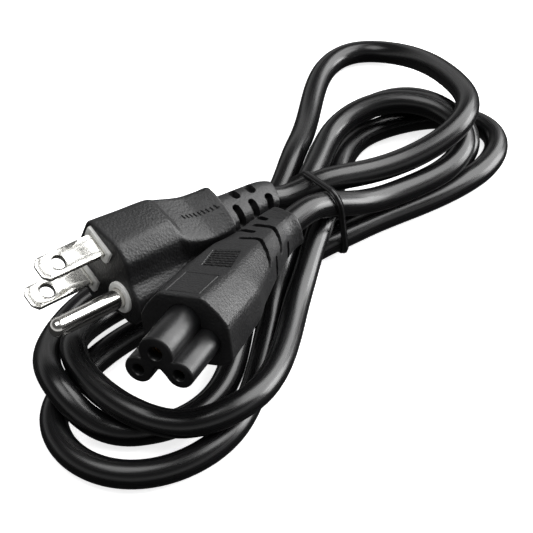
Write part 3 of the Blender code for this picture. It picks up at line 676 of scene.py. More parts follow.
OVERMOULD = Moulding("spark_eroded_pvc", "#131314", 0.46, 0.42, 0.11)
NOSE_PLASTIC = Moulding("black_polyamide", "#121213", 0.36, 0.4, 0.02)
CARRIER_PLASTIC = Moulding("white_polyamide", "#f1f1ee", 0.42, 0.5, 0.008)
CORD_PVC = Sheath("extruded_pvc", "#0c0c0d", 0.27, 0.5, 0.004)
BLADE_NICKEL = Plating("bright_nickel_strip", "#e6e5e0", 0.2, 0.1)
PIN_NICKEL = Plating("bright_nickel_turned", "#eceae6", 0.12, 0.05)
CONTACT_BRONZE = Plating("phosphor_bronze", "#b98d55", 0.25, 0.1)
TIE_PVC = Moulding("tie_ribbon_pvc", "#1a1a1b", 0.32, 0.4, 0.01)


@dataclass(frozen=True)
class Settling:
    """How a springy cord lies: spacing, stiffness and clearance of its centreline, millimetres."""

    diameter: float = 6.8
    step: float = 4.0
    rounds: int = 600
    slack: float = 0.3
    pull: float = 0.018
    stiff: float = 0.12
    sink: float = 0.02
    keep: int = 3
    tie_at: tuple = (13.8, -7.4, 4.0)
    tie_normal: tuple = (0.82, 0.54, 0.19)
    tie_lift: float = 1.6

    def lowest(self, q: np.ndarray) -> np.ndarray:
        """Height of a strand's centre on the floor, with the rise over the tie's ribbon.

        Args:
            q: Points of the centreline.

        Returns:
            The lowest height that each point may have.
        """
        off = (q - np.array(self.tie_at)) @ unit(self.tie_normal)
        away = np.linalg.norm(q - np.array(self.tie_at), axis=1)
        return self.diameter / 2 + self.tie_lift * np.exp(-(off / 20) ** 2) * (away < 50)

    def settle(self, points: np.ndarray) -> np.ndarray:
        """Let a cord along the points sink, stay off the floor and off itself.

        Args:
            points: Guide points from one end to the other.

        Returns:
            The centreline at rest.
        """
        guide = ease(smooth_curve(points, self.step), 8.0 / self.step)
        q = guide.copy()
        i, j = np.triu_indices(len(q), int(np.ceil(2.5 * self.diameter / self.step)))
        for turn in range(self.rounds):
            if turn % 10 == 0:
                v = q[i] - q[j]
                near = (v * v).sum(1) < (self.diameter + 7) ** 2
                a0 = i[near]
                b0 = j[near]
            lap = np.zeros_like(q)
            lap[1:-1] = q[:-2] - 2 * q[1:-1] + q[2:]
            bend = np.zeros_like(q)
            bend[1:-1] = lap[:-2] - 2 * lap[1:-1] + lap[2:]
            q = q - self.stiff * bend
            q += self.pull * (guide - q) * (1, 1, 0.3)
            q[:, 2] -= self.sink
            for _ in range(3):
                v = q[a0] - q[b0]
                dist = np.sqrt((v * v).sum(1))
                hit = dist < self.diameter + self.slack
                lack = self.diameter + self.slack - dist[hit]
                push = (lack / np.maximum(dist[hit], 0.3) * 0.3)[:, None] * v[hit]
                np.add.at(q, a0[hit], push)
                np.add.at(q, b0[hit], -push)
                q[:, 2] = np.maximum(q[:, 2], self.lowest(q))
            q[:self.keep] = guide[:self.keep]
            q[-self.keep:] = guide[-self.keep:]
        return q


@dataclass
class Plug:
    """Three-pin wall plug: overmould, pin carrier, two blades and a ground pin."""

    at: tuple = (-48.30, -37.33, 26.95)
    turn: tuple = (-21.454, -5.786, -138.085)
    end: tuple = (-53.0, 5.7, -0.4)
    end_dir: tuple = (-0.965, 0.22, -0.13)
    rear: float = 31.7
    relief_y: float = 5.0
    face_round: float = 0.8
    blade_width: float = 6.35
    blade_thick: float = 1.52
    blade_reach: float = 17.4
    blade_root: float = 6.0
    blade_pitch: float = 12.7
    hole_d: float = 3.7
    hole_x: float = 11.9
    pin_d: float = 4.8
    pin_reach: float = 20.4
    pin_y: float = 11.9

    # half outlines (Y, Z) at distances behind the face
    KEYS = {
        0.0: [(-6.3, 0), (-6.3, 4.1), (-6.3, 7.4), (-5.5, 9.2), (0, 10.8), (5, 12.2), (9.3, 10.8),
              (11.4, 7.7), (13.3, 5.9), (17, 5), (19.1, 2.9), (19.6, 0)],
        8.2: [(-5.6, 0), (-5.6, 4.3), (-5.6, 7.8), (-4.7, 9.6), (0.3, 11.1), (5, 12.3), (9.4, 10.9),
              (11.4, 7.7), (13.3, 5.9), (16.7, 4.9), (18.6, 2.8), (19, 0)],
        15.9: [(-4.8, 0), (-4.8, 4.6), (-4.8, 8.2), (-4, 10.1), (0.5, 11.4), (5, 12.3), (9.5, 10.9),
               (11.5, 7.7), (13.2, 5.8), (15.8, 4.7), (17.4, 2.6), (17.8, 0)],
        18.4: [(-4.3, 0), (-4.3, 4.5), (-4.2, 7.9), (-3.3, 9.3), (1, 9.9), (6.1, 10.6), (10.9, 10.6),
               (12.3, 7.8), (13.2, 5.7), (15.4, 4.5), (16.8, 2.5), (17.1, 0)],
        24.1: [(-2.4, 0), (-2.4, 4.5), (-2.3, 7.8), (-1.4, 9.2), (2, 9.5), (7.2, 9.9), (12.6, 10.2),
               (13.2, 8), (13.1, 5.5), (14.2, 4), (15.2, 2), (15.4, 0)],
        28.7: [(-1.3, 0), (-1.3, 4.7), (-1.2, 8.6), (-0.4, 10.2), (2.9, 10.8), (7.8, 11.1), (13.1, 11),
               (13.6, 8.4), (13.4, 5.7), (13.6, 3.7), (13.9, 1.8), (14, 0)],
        31.7: [(-0.9, 0), (-0.9, 4.9), (-0.7, 9.6), (0.5, 11.9), (3.3, 12.5), (7.8, 12.6), (12.5, 11.9),
               (13.4, 8.8), (13.3, 6.1), (13.2, 3.9), (13.1, 1.9), (13.1, 0)],
    }

    def __post_init__(self) -> None:
        """Work out the placement."""
        self.place = place_matrix(self.at, self.turn)

    def exit(self, distance: float) -> np.ndarray:
        """A point on the cord's axis, this far out of the relief."""
        return move(np.array(self.end) + distance * unit(self.end_dir), self.place)

    def block_rings(self) -> np.ndarray:
        """Rings from the rounded face edge to the rear rim: outlines interpolated along X.

        Returns:
            Rings, rows by columns by three.
        """
        at = np.array(sorted(self.KEYS))
        keys, _ = even_columns(np.array([rounded_outline(self.KEYS[a]) for a in at]), BLOCK_COLUMNS)
        turn = np.radians([0, 18, 36, 54, 72, 90])
        # finest steps at the dish's edge and along its marks
        x = np.r_[self.face_round * (1 - np.cos(turn)), np.arange(1.2, 15.4, 0.6),
                  np.arange(15.5, 19.0, 0.14), np.arange(19.1, 21.0, 0.4), np.arange(21.1, 30.2, 0.12)]
        back = 0.7
        x = np.r_[x, self.rear - back + back * np.sin(turn)]
        shrink = np.zeros(len(x))
        shrink[:6] = self.face_round * (1 - np.sin(turn))
        shrink[-6:] = back * (1 - np.cos(turn))
        outlines = monotone(at, keys, x).reshape(len(x), -1, 2)
        rings = []
        for a, by, outline in zip(x, shrink, outlines):
            shape = pull_in(inset(outline, by), self.ticks(a, outline))
            rings.append(np.column_stack([np.full(len(shape), -a), shape]))
        return np.array(rings)

    def relief_rings(self, columns: np.ndarray) -> np.ndarray:
        """Rings of the strain relief along its flexed path, with its windows pressed in.

        Args:
            columns: Angle of each column where the relief leaves the rear face.

        Returns:
            Rings, rows by columns by three.
        """
        end = np.array(self.end)
        out = unit(self.end_dir)
        path = smooth_curve([(-30.7, 5.6, 0), (-37, 5.3, 0), (-44, self.relief_y, 0), end - 3 * out,
                             end], 0.05)
        reach = run_length(path)
        tip = 0.6
        turn = np.radians([15, 30, 45, 60, 75, 90])
        s = np.r_[0.6, np.arange(1.2, reach[-1] - tip, 0.15), reach[-1] - tip + tip * np.sin(turn)]
        at = np.array([0, 3.1, 6.2, 9.2, 12.3, 15.4, 18.4, reach[-1] - 1.3, reach[-1]])
        half = np.interp(s, at, [6.4, 6.1, 5.75, 5.4, 5.15, 4.9, 4.7, 4.5, 4.35])
        half[-6:] -= tip * (1 - np.cos(turn))
        middle = read_line(s, reach, path)
        d = unit_rows(read_line(s + 0.5, reach, path) - read_line(s - 0.5, reach, path))
        side = unit_rows(-np.cross((0.0, 0.0, 1.0), d))
        up = -np.cross(d, side)
        n = len(columns)
        uniform = np.pi - 2 * np.pi * np.arange(n) / n
        blend = smoothstep(0.6, 5.0, s)[:, None]
        angle = (1 - blend) * columns + blend * uniform
        c = np.cos(angle)
        sn = np.sin(angle)
        square = 2.7
        r = half[:, None] / (np.abs(c) ** square + np.abs(sn) ** square) ** (1 / square)
        r -= self.windows(s[:, None], np.degrees(angle), r)
        return middle[:, None] + (r * c)[..., None] * side[:, None] + (r * sn)[..., None] * up[:, None]

    def windows(self, s: np.ndarray, angle: np.ndarray, r: np.ndarray) -> np.ndarray:
        """Depth of the round-ended windows, in rows on the four corners.

        Args:
            s: Distance of each ring along the relief.
            angle: Angle of each column of each ring, degrees.
            r: Radius there.

        Returns:
            A depth for each point.
        """
        depth = np.zeros(angle.shape)
        rows = [(at, sign * centre, reach) for at, centre, reach in
                ((8.0, 52, 37), (13.3, 50, 34), (18.9, 45, 34), (10.7, 124, 22), (15.9, 121, 22))
                for sign in (1, -1)]
        for at, centre, reach in rows:
            around = np.radians(np.abs((angle - centre + 180) % 360 - 180)) * r
            long_side = np.maximum(around - (np.radians(reach) * r - 1.05), 0)
            away = np.hypot(s - at, long_side)
            depth = np.maximum(depth, 1.9 * (1 - smoothstep(0.9, 1.15, away)))
        return depth

    def ticks(self, x: float, shape: np.ndarray) -> np.ndarray:
        """Depth of the row of short marks in the dish, at one outline.

        Args:
            x: Distance of the outline behind the face.
            shape: The outline, (Y, Z).

        Returns:
            A depth for each of its points.
        """
        nearest = np.clip(np.round((x - 21.5) / 1.03), 0, 8)
        lean = 0.24 * (shape[:, 0] - (4.2 + 0.24 * (x - 21.4)))
        off = np.abs(x - 21.5 - 1.03 * nearest - lean)
        along = np.abs(shape[:, 0] - (4.2 + 0.24 * (x - 21.4)))
        away = np.maximum(off / 0.2, along / 0.62)
        return np.where(shape[:, 1] > 0, 0.3 * (1 - smoothstep(0.6, 1.1, away)), 0.0)

    def build_body(self) -> bpy.types.Object:
        """The overmould: block, finger dish, rear rim, rear face and strain relief in one skin.

        Returns:
            The overmould.
        """
        block = self.block_rings()
        rear = block[-1]
        angle = np.unwrap(np.arctan2(rear[:, 2], rear[:, 1] - 5.6))
        angle += 2 * np.pi * round((np.pi - angle[0]) / (2 * np.pi))
        relief = self.relief_rings(angle)
        between = [(1 - t) * rear + t * relief[0] for t in (0.2, 0.4, 0.6, 0.8, 0.93)]
        rings = np.concatenate([block, np.array(between), relief])
        body = surface("plug_overmould", rings, self.place, crease=MOULD_CREASE)
        return cut(body, self.recesses(), MOULD_CREASE)

    def recesses(self) -> list[bpy.types.Object]:
        """Tools that open the face for the pin carrier and the metal.

        Returns:
            Closed meshes to cut with.
        """
        tools = []
        grow = 0.12
        for side in (-1, 1):
            z = sorted((side * (4.2 - grow), side * (8.5 + grow)))
            tools.append(box_rings((-4.0, 1.0), (-4.65 - grow, 4.65 + grow), z))
        tools.append(lathe_rings([(-4.0, 4.0 + grow), (1.0, 4.0 + grow)], y=self.pin_y, sides=96))
        return [surface("recess", rings, self.place) for rings in tools]

    def build_carrier(self) -> bpy.types.Object:
        """The collars: rings whose section is a round-cornered wall from the hole out to the rim.

        Returns:
            The three collars as one piece.
        """
        parts = []
        for side in (-1, 1):
            z = side * self.blade_pitch / 2
            parts.append(self.collar(z, 0.0, (self.blade_width / 2 + 0.12, self.blade_thick / 2 + 0.12),
                                     (4.65, 2.15), 9.0))
        r = self.pin_d / 2 + 0.1
        parts.append(self.collar(0.0, self.pin_y, (r, r), (4.0, 4.0), 2.0))
        return join("pin_carrier_mould", parts)

    def collar(self, z: float, y: float, inner: tuple, outer: tuple, square: float) -> bpy.types.Object:
        """One collar, a wall between two superellipses.

        Args:
            z: Middle of the collar.
            y: Middle of the collar.
            inner: Half sizes of the hole.
            outer: Half sizes of the rim.
            square: Power of the superellipse; 2 is round.

        Returns:
            The collar.
        """
        a = np.linspace(0, 2 * np.pi, 128, endpoint=False)
        c = np.cos(a)
        s = np.sin(a)
        loops = []
        for half_y, half_z in (inner, outer):
            k = (np.abs(c / half_y) ** square + np.abs(s / half_z) ** square) ** (-1 / square)
            loops.append(np.column_stack([y + k * c, z + k * s]))
        proud = 0.7
        e = 0.22
        walls = [(0.0, -4.0), (0.0, proud - e), (0.06, proud - e * 0.3), (0.16, proud), (0.84, proud),
                 (0.94, proud - e * 0.3), (1.0, proud - e), (1.0, -4.0)]
        rings = np.array([np.column_stack([np.full(len(a), x), (1 - t) * loops[0] + t * loops[1]])
                          for t, x in walls])
        return surface("collar", rings, self.place, closed=True, crease=40)

    def build_blade(self, name: str, side: int) -> bpy.types.Object:
        """One blade: a closed grid, its rows running from the hole across a face to the edge and back.

        Args:
            name: Name of the piece.
            side: 1 for the upper blade, -1 for the lower.

        Returns:
            The blade.
        """
        w = self.blade_width / 2
        tip = self.blade_reach
        corner = 1.35
        half = [(-self.blade_root, -w), (tip - corner, -w), (tip - 0.25, -w + corner * 0.85),
                (tip, -w + corner * 1.25)]
        outer = np.array(half + [(x, -y) for x, y in reversed(half)])
        count = 192
        closed = np.vstack([outer, outer[:1]])
        reach = run_length(closed)
        read = np.unique(np.r_[np.linspace(0, reach[-1], count, endpoint=False), reach[:-1]])
        edge = read_line(read, reach, closed)
        hole_centre = np.array([self.hole_x, 0.0])
        ray = unit_rows(edge - hole_centre)
        thick = self.blade_thick / 2
        bevel = 0.16
        rows = []
        for top in (1, -1):
            face = [(self.hole_d / 2, None, thick - bevel * 0.6), (self.hole_d / 2 + 0.12, None, thick),
                    (None, bevel, thick), (None, bevel * 0.3, thick - bevel * 0.3),
                    (None, 0.0, thick - bevel)]
            for radius, back, half in (face if top == 1 else face[::-1]):
                p = hole_centre + ray * radius if back is None else edge - ray * back
                lean = np.interp(p[:, 0], [tip - 2.4, tip - 0.2], [0.0, 0.36])
                rows.append(np.column_stack([p, side * self.blade_pitch / 2 + top * (half - lean)]))
        return surface(name, np.array(rows), self.place, closed=True, crease=50)

    def build_pin(self) -> bpy.types.Object:
        """The ground pin: a turned bar with a domed tip.

        Returns:
            The pin.
        """
        r = self.pin_d / 2
        dome = np.radians(np.linspace(0, 88, 14))
        profile = [(-self.blade_root, r), (0.0, r), (self.pin_reach - r * 1.15, r)]
        profile += [(self.pin_reach - r + r * np.sin(a), r * np.cos(a) ** 0.92) for a in dome[1:]]
        rings = lathe_rings(profile, self.pin_y, 0.0, 96)
        return surface("ground_pin_bar", rings, self.place, crease=60)


@dataclass
class Connector:
    """Cloverleaf appliance connector: overmould, nose and contacts."""

    at: tuple = (-30.01, -79.15, 32.07)
    turn: tuple = (11.505, -9.691, -113.837)
    end: tuple = (-66.35, 2.9, 1.4)
    end_dir: tuple = (-0.92, 0.37, 0.13)
    nose_reach: float = 13.8
    nose_root: float = 4.0
    pitch: float = 10.0
    earth_z: float = 4.8
    lobe_r: float = 3.35
    earth_lobe_r: float = 4.15

    # half outlines (Z, Y) at distances behind the nose tip
    KEYS = {
        13.8: [(11.4, 0), (11.4, 3), (11.4, 5.1), (10.7, 6.3), (8.1, 8.9), (5.3, 10.8), (3.5, 11.1),
               (-3.8, 11.1), (-5.3, 10.3), (-6.4, 7.9), (-6.5, 3), (-6.5, 0)],
        29.5: [(9.8, 0), (9.8, 3), (9.8, 5.1), (9.3, 6.4), (7.3, 8.9), (4.9, 10.8), (3.3, 11.1),
               (-2.9, 11), (-4.3, 10), (-5.3, 7.9), (-5.5, 3), (-5.5, 0)],
        35.4: [(9.2, 0), (9.2, 3), (9.2, 5.1), (8.6, 6.3), (6.9, 8.3), (4.7, 9.8), (3.1, 10.1),
               (-2.4, 9.8), (-3.8, 8.8), (-4.9, 6.9), (-5.1, 3), (-5.1, 0)],
        42.3: [(8.5, 0), (8.5, 2.8), (8.4, 4.8), (7.8, 6), (6.3, 7.6), (4.3, 8.7), (2.8, 8.9),
               (-2.2, 8.6), (-3.5, 7.8), (-4.6, 6.1), (-4.8, 2.8), (-4.8, 0)],
        49.2: [(7.5, 0), (7.5, 2.5), (7.3, 4.3), (6.7, 5.4), (5.4, 6.6), (3.7, 7.3), (2.2, 7.4),
               (-2, 7.2), (-3.2, 6.6), (-4.4, 5.1), (-4.7, 2.5), (-4.7, 0)],
        56.1: [(6.7, 0), (6.7, 2.2), (6.5, 3.8), (5.9, 4.8), (4.7, 5.7), (3.1, 6.2), (1.8, 6.3),
               (-1.8, 6.1), (-3, 5.7), (-4.1, 4.5), (-4.4, 2.2), (-4.4, 0)],
        65.0: [(5.8, 0), (5.8, 2), (5.6, 3.3), (5.1, 4.2), (4.1, 4.9), (2.8, 5.3), (1.5, 5.4),
               (-1.5, 5.2), (-2.7, 4.8), (-3.5, 3.8), (-3.8, 2), (-3.8, 0)],
    }

    # relief slots: (turn round the outline, distance behind the nose tip) along each
    SLOTS = (
        [(-0.01, 47.5), (-0.08, 48.4), (-0.17, 45.8), (-0.26, 42.2)],
        [(0.01, 56.6), (-0.09, 56.6), (-0.19, 54.5), (-0.28, 52.5)],
        [(-0.015, 52.5), (0.07, 52.7), (0.16, 50.6), (0.25, 47.8)],
        [(0.0, 60.6), (0.08, 60.7), (0.17, 59.0), (0.26, 57.0)],
        [(-0.28, 48.4), (-0.35, 47.6), (-0.43, 47.0)],
        [(-0.30, 58.3), (-0.37, 57.7), (-0.44, 57.2)],
        [(0.28, 43.2), (0.35, 42.6), (0.43, 42.2)],
        [(0.29, 53.2), (0.36, 52.6), (0.43, 52.2)],
    )

    def __post_init__(self) -> None:
        """Work out the placement."""
        self.place = place_matrix(self.at, self.turn)

    def exit(self, distance: float) -> np.ndarray:
        """A point on the cord's axis, this far out of the relief."""
        return move(np.array(self.end) + distance * unit(self.end_dir), self.place)

    def body_rings(self) -> np.ndarray:
        """Rings of the body along a path that bends towards the cord, with slots and grip pressed in.

        Returns:
            Rings, rows by columns by three.
        """
        at = np.array(sorted(self.KEYS))
        shapes = np.array([rounded_outline(self.KEYS[a]) for a in at])
        keys, around = even_columns(shapes, BODY_COLUMNS)
        end = np.array(self.end)
        out = unit(self.end_dir)
        path = smooth_curve([(-self.nose_reach, 0, 0), (-30.0, 0, 0), (-42.0, 0, 0), (-51.0, 0.2, 0.1),
                             end - 6 * out, end], 0.05)
        reach = self.nose_reach + run_length(path)
        edge = 0.5
        tip = 0.7
        turn = np.radians([0, 22, 45, 68, 90])
        last = reach[-1]
        s = np.r_[self.nose_reach + edge * (1 - np.cos(turn)), np.arange(14.6, 29.0, 0.2),
                  np.arange(29.0, last - tip, 0.15), last - tip + tip * np.sin(turn)]
        s = np.unique(np.round(s, 5))
        shrink = np.interp(s, self.nose_reach + edge * (1 - np.cos(turn)), edge * (1 - np.sin(turn)))
        shrink += tip * (1 - np.sqrt(1 - np.clip((s - last + tip) / tip, 0, 1) ** 2))
        outlines = monotone(at, keys, s).reshape(len(s), -1, 2)
        middle = read_line(s, reach, path)
        high = np.minimum(s + 0.6, last)
        d = unit_rows(read_line(high, reach, path) - read_line(high - 1.2, reach, path))
        right = unit_rows(-np.cross(d, (0.0, 0.0, 1.0)))
        up = np.cross(right, d)
        up *= np.sign(up[:, 2:])
        # the relief's outlines are centred on the path little by little, from the body to the cord
        high_and_low = outlines[..., 0].max(1) + outlines[..., 0].min(1)
        lift = np.interp(s, (43.0, 62.0), (0.0, 1.0)) * high_and_low / 2
        rings = []
        for k in range(len(s)):
            shape = inset(outlines[k], shrink[k])
            shape = self.press(s[k], shape, around)
            rings.append(middle[k] + (shape[:, :1] - lift[k]) * up[k] + shape[:, 1:] * right[k])
        return np.array(rings)

    def press(self, s: float, shape: np.ndarray, around: np.ndarray) -> np.ndarray:
        """One outline with the relief's slots, the grip's ribs and the blank panel's border pressed in.

        Args:
            s: Distance of the outline behind the nose tip.
            shape: The outline, (Z, Y).
            around: Each point's turn round the outline.

        Returns:
            The outline with its points moved in or out along its normals.
        """
        n = len(shape)
        girth = np.linalg.norm(shape - np.roll(shape, 1, axis=0), axis=1).sum()
        depth = np.zeros(n)
        for line in self.SLOTS:
            path = smooth_curve([(t * girth, at, 0.0) for t, at in line], 0.25)
            if abs(path[:, 1] - s).min() > 1:
                continue
            away = np.hypot((around * girth)[:, None] - path[:, 0], s - path[:, 1]).min(axis=1)
            depth = np.maximum(depth, 2.0 * (1 - smoothstep(0.66, 0.8, away)))
        top = shape[:, 0] > 0
        y = -shape[:, 1]
        depth = depth + np.where(top, self.grip(s, y) + self.border(s, y), 0.0)
        return pull_in(shape, depth)

    @staticmethod
    def grip(s: float, y: np.ndarray) -> np.ndarray:
        """Depth of the thumb patch: a shallow slanting recess nearly filled by eight cross ribs.

        Args:
            s: Distance of the outline behind the nose tip.
            y: Each point's distance to the right of the middle.

        Returns:
            A depth for each point.
        """
        low = 29.6 + 0.07 * y
        high = 39.4 + 0.2 * y
        t = (s - low) / (high - low)
        left = -2.6 - 1.3 * t
        right = 4.9 - 1.9 * t
        inside = smoothstep(0.0, 0.03, t) * smoothstep(0.0, 0.03, 1 - t)
        inside = inside * smoothstep(0.0, 0.3, y - left) * smoothstep(0.0, 0.3, right - y)
        rib = smoothstep(0.2, 0.8, 0.5 + 0.5 * np.cos((t * 7.5 - 0.25) * 2 * np.pi))
        return inside * (0.62 - 0.5 * rib)

    @staticmethod
    def border(s: float, y: np.ndarray) -> np.ndarray:
        """Depth of the fine groove round a blank rectangle.

        Args:
            s: Distance of the outline behind the nose tip.
            y: Each point's distance to the right of the middle.

        Returns:
            A depth for each point.
        """
        across = np.abs(np.abs(y) - 4.1)
        along = abs(abs(s - 20.5) - 4.9)
        near = np.where(np.abs(y) < 4.2, along, 9.0)
        beside = across if abs(s - 20.5) < 5.0 else np.full(len(y), 9.0)
        return 0.14 * (1 - smoothstep(0.08, 0.2, np.minimum(near, beside)))

    def build_body(self) -> bpy.types.Object:
        """The overmould, with the face opened for the nose.

        Returns:
            The overmould.
        """
        body = surface("connector_overmould", self.body_rings(), self.place, crease=MOULD_CREASE)
        shape = self.clover(0.12, 240)
        tool = np.array([np.column_stack([np.full(len(shape), x), shape])
                         for x in (-self.nose_reach - self.nose_root - 0.3, 1.0)])
        return cut(body, [surface("recess", tool, self.place)], MOULD_CREASE)

    def clover(self, grow: float, count: int) -> np.ndarray:
        """Outline (Y, Z) of the cloverleaf: how far three lobes and a web reach from its middle.

        Args:
            grow: Added to the radius of the lobes and to the web.
            count: Points on the outline.

        Returns:
            The outline, at even steps.
        """
        lobes = ((self.pitch / 2, 0.0, self.lobe_r), (0.0, self.earth_z, self.earth_lobe_r),
                 (-self.pitch / 2, 0.0, self.lobe_r))
        a = np.linspace(-np.pi, np.pi, 2881)[:-1]
        middle = np.array([0.0, 2.2])
        ray = np.column_stack([np.cos(a), np.sin(a)])
        reach = np.zeros(len(a))
        for y, z, r in lobes:
            c = np.array([y, z]) - middle
            along = ray @ c
            inside = (r + grow) ** 2 - (c @ c - along ** 2)
            hit = inside > 0
            reach[hit] = np.maximum(reach[hit], along[hit] + np.sqrt(inside[hit]))
        down = ray[:, 1] < -1e-6
        web = np.full(len(a), 2.6 + grow)
        web[down] = np.minimum(web[down], (0.9 + grow) / -ray[down, 1])
        reach = np.maximum(reach, web)
        return even_loop(middle + ray * reach[:, None], count)

    def build_nose(self) -> bpy.types.Object:
        """The nose: the clover carried along X, its front edge rounded and its three mouths cut in.

        Returns:
            The nose.
        """
        shape = self.clover(0.0, 288)
        turn = np.radians([90, 60, 30, 0])
        edge = 0.45
        stations = [(-self.nose_reach - self.nose_root, 0.0), (-8.0, 0.0), (-edge, 0.0)]
        stations += [(-edge + edge * np.cos(a), edge * (1 - np.sin(a))) for a in turn[1:]]
        rings = np.array([np.column_stack([np.full(len(shape), x), inset(shape, by)])
                          for x, by in stations])
        nose = surface("cloverleaf_nose", rings, self.place, crease=40)
        tools = []
        half = self.pitch / 2
        for y, z, hole in ((-half, 0.0, 2.7), (half, 0.0, 2.7), (0.0, self.earth_z, 3.3)):
            profile = [(-12.0, 1.85), (-2.4, 1.85), (-2.39, hole / 2), (-0.25, hole / 2),
                       (0.02, hole / 2 + 0.22), (1.0, hole / 2 + 0.22)]
            tools.append(surface("bore", lathe_rings(profile, y, z, 48), self.place))
        return cut(nose, tools, 40)


@dataclass
class Cord:
    """The sheathed cord, from the plug's relief to the connector's."""

    plug: Plug
    connector: Connector
    settling: Settling
    gap: float = 0.3
    stub: float = 4.0
    sides: int = 32
    step: float = 1.3
    taper: float = 0.93

    def centreline(self) -> np.ndarray:
        """The settled route, from exit to exit.

        Returns:
            Points of the centreline, millimetres.
        """
        ends = (self.gap, self.gap + self.stub)
        start, after = (self.plug.exit(d) for d in ends)
        end, before = (self.connector.exit(d) for d in ends)
        return self.settling.settle(np.vstack([start, after, ROUTE, before, end]))

    def build(self) -> tuple[bpy.types.Object, np.ndarray]:
        """A round tube along the centreline: a circle in the frame that turns least from ring to ring.

        Returns:
            The tube and its centreline, millimetres.
        """
        line = smooth_curve(self.centreline(), self.step)
        t = unit_rows(np.gradient(line, axis=0))
        across = np.empty_like(t)
        across[0] = unit(np.cross(t[0], (0, 0, 1)))
        for k in range(1, len(t)):
            across[k] = unit(across[k - 1] - t[k] * (across[k - 1] @ t[k]))
        other = np.cross(t, across)
        a = np.linspace(0, 2 * np.pi, self.sides, endpoint=False)
        r = self.settling.diameter / 2
        circle = np.cos(a)[None, :, None] * across[:, None] + np.sin(a)[None, :, None] * other[:, None]
        rings = line[:, None] + r * circle
        # a short taper at both ends, where the sheath is cut off square inside the reliefs
        first = line[0] + (rings[0] - line[0]) * self.taper
        last = line[-1] + (rings[-1] - line[-1]) * self.taper
        rings = np.concatenate([first[None], rings, last[None]])
        run = run_length(line)
        run = np.r_[0, run, run[-1]] * MM
        uv = np.stack(np.broadcast_arrays((a / (2 * np.pi))[None, :], run[:, None]), axis=-1)
        return surface("sheathed_cord", rings, None, crease=60, uv=np.array(uv)), line


@dataclass
class Tie:
    """Twist tie: a PVC ribbon with a wire in its middle, drawn round the strands."""

    settling: Settling
    width: float = 1.9
    thick: float = 0.45
    ridge: float = 0.42
    clear: float = 3.62
    left: float = -18.0
    nearby: float = 40.0
    read_step: float = 0.5
    skip_points: int = 30
    directions: int = 240
    loop_points: int = 360

    def axes(self) -> tuple[np.ndarray, np.ndarray, np.ndarray, np.ndarray]:
        """A point of the loop's plane, its sideways and upward directions, and its normal."""
        n = unit(self.settling.tie_normal)
        side = unit(np.cross(n, (0.0, 0.0, 1.0)))
        return np.array(self.settling.tie_at), side, np.cross(side, n), n

    def loop(self, line: np.ndarray) -> np.ndarray:
        """The taut outline round every strand where it crosses the plane, at even steps.

        Args:
            line: The cord's centreline.

        Returns:
            Points in the plane, sideways and upwards.
        """
        at, side, up, n = self.axes()
        fine = even(line, self.read_step)
        t = unit_rows(np.gradient(fine, axis=0))
        e1 = unit_rows(np.cross(t, (0, 0, 1.0)))
        e2 = np.cross(t, e1)
        a = np.linspace(0, 2 * np.pi, 48, endpoint=False)
        ring = np.cos(a)[None, :, None] * e1[:, None] + np.sin(a)[None, :, None] * e2[:, None]
        # strands that cross further left than this field says stay outside the ribbon
        off = (fine - at) @ n
        near = np.linalg.norm(fine[:-1] - at, axis=1) < self.nearby
        cross = np.flatnonzero((off[:-1] * off[1:] <= 0) & near)
        outside = cross[((fine[cross] - at) @ side) < self.left]
        held = (np.abs(np.arange(len(fine))[:, None] - outside) > self.skip_points).all(axis=1)
        skin = (fine[held, None] + self.clear * ring[held]).reshape(-1, 3) - at
        near = np.linalg.norm(skin, axis=1) < self.nearby
        skin = skin[(np.abs(skin @ n) < self.width / 2) & near]
        flat = np.column_stack([skin @ side, skin @ up])
        # the farthest point in each direction gives the outline
        centre = (flat.max(axis=0) + flat.min(axis=0)) / 2
        look = np.linspace(0, 2 * np.pi, self.directions, endpoint=False)
        ray = np.column_stack([np.cos(look), np.sin(look)])
        far = flat[np.argmax((flat - centre) @ ray.T, axis=0)]
        far = far[np.linalg.norm(far - np.roll(far, 1, axis=0), axis=1) > 1e-6]
        return even_loop(far, self.loop_points)

    def section(self) -> np.ndarray:
        """Half-round ridge on a thin strip: (outwards, across) pairs round the ribbon's section.

        Returns:
            The section's points.
        """
        w = self.width / 2
        across = np.linspace(-w, w, 17)
        top = self.thick * np.minimum(1, np.sqrt(np.clip((w - np.abs(across)) / 0.12, 0, 1)))
        top = top + self.ridge * np.sqrt(np.clip(1 - (across / 0.42) ** 2, 0, 1))
        under = np.linspace(w, -w, 5)
        return np.vstack([np.column_stack([top, across]), np.column_stack([np.zeros(5), under])])

    def build(self, line: np.ndarray) -> bpy.types.Object:
        """The ribbon carried round the loop.

        Args:
            line: The cord's centreline.

        Returns:
            The ribbon.
        """
        at, side, up, n = self.axes()
        loop = self.loop(line)
        away = np.roll(loop, 1, axis=0) - np.roll(loop, -1, axis=0)
        away = unit_rows(np.column_stack([-away[:, 1], away[:, 0]]))
        away *= np.sign(((loop - loop.mean(axis=0)) * away).sum())
        section = self.section()
        flat = loop[:, None] + away[:, None] * section[None, :, :1]
        rings = at + flat[..., :1] * side + flat[..., 1:] * up + section[None, :, 1:] * n
        return surface("tie_ribbon", rings, None, closed=True, crease=50)


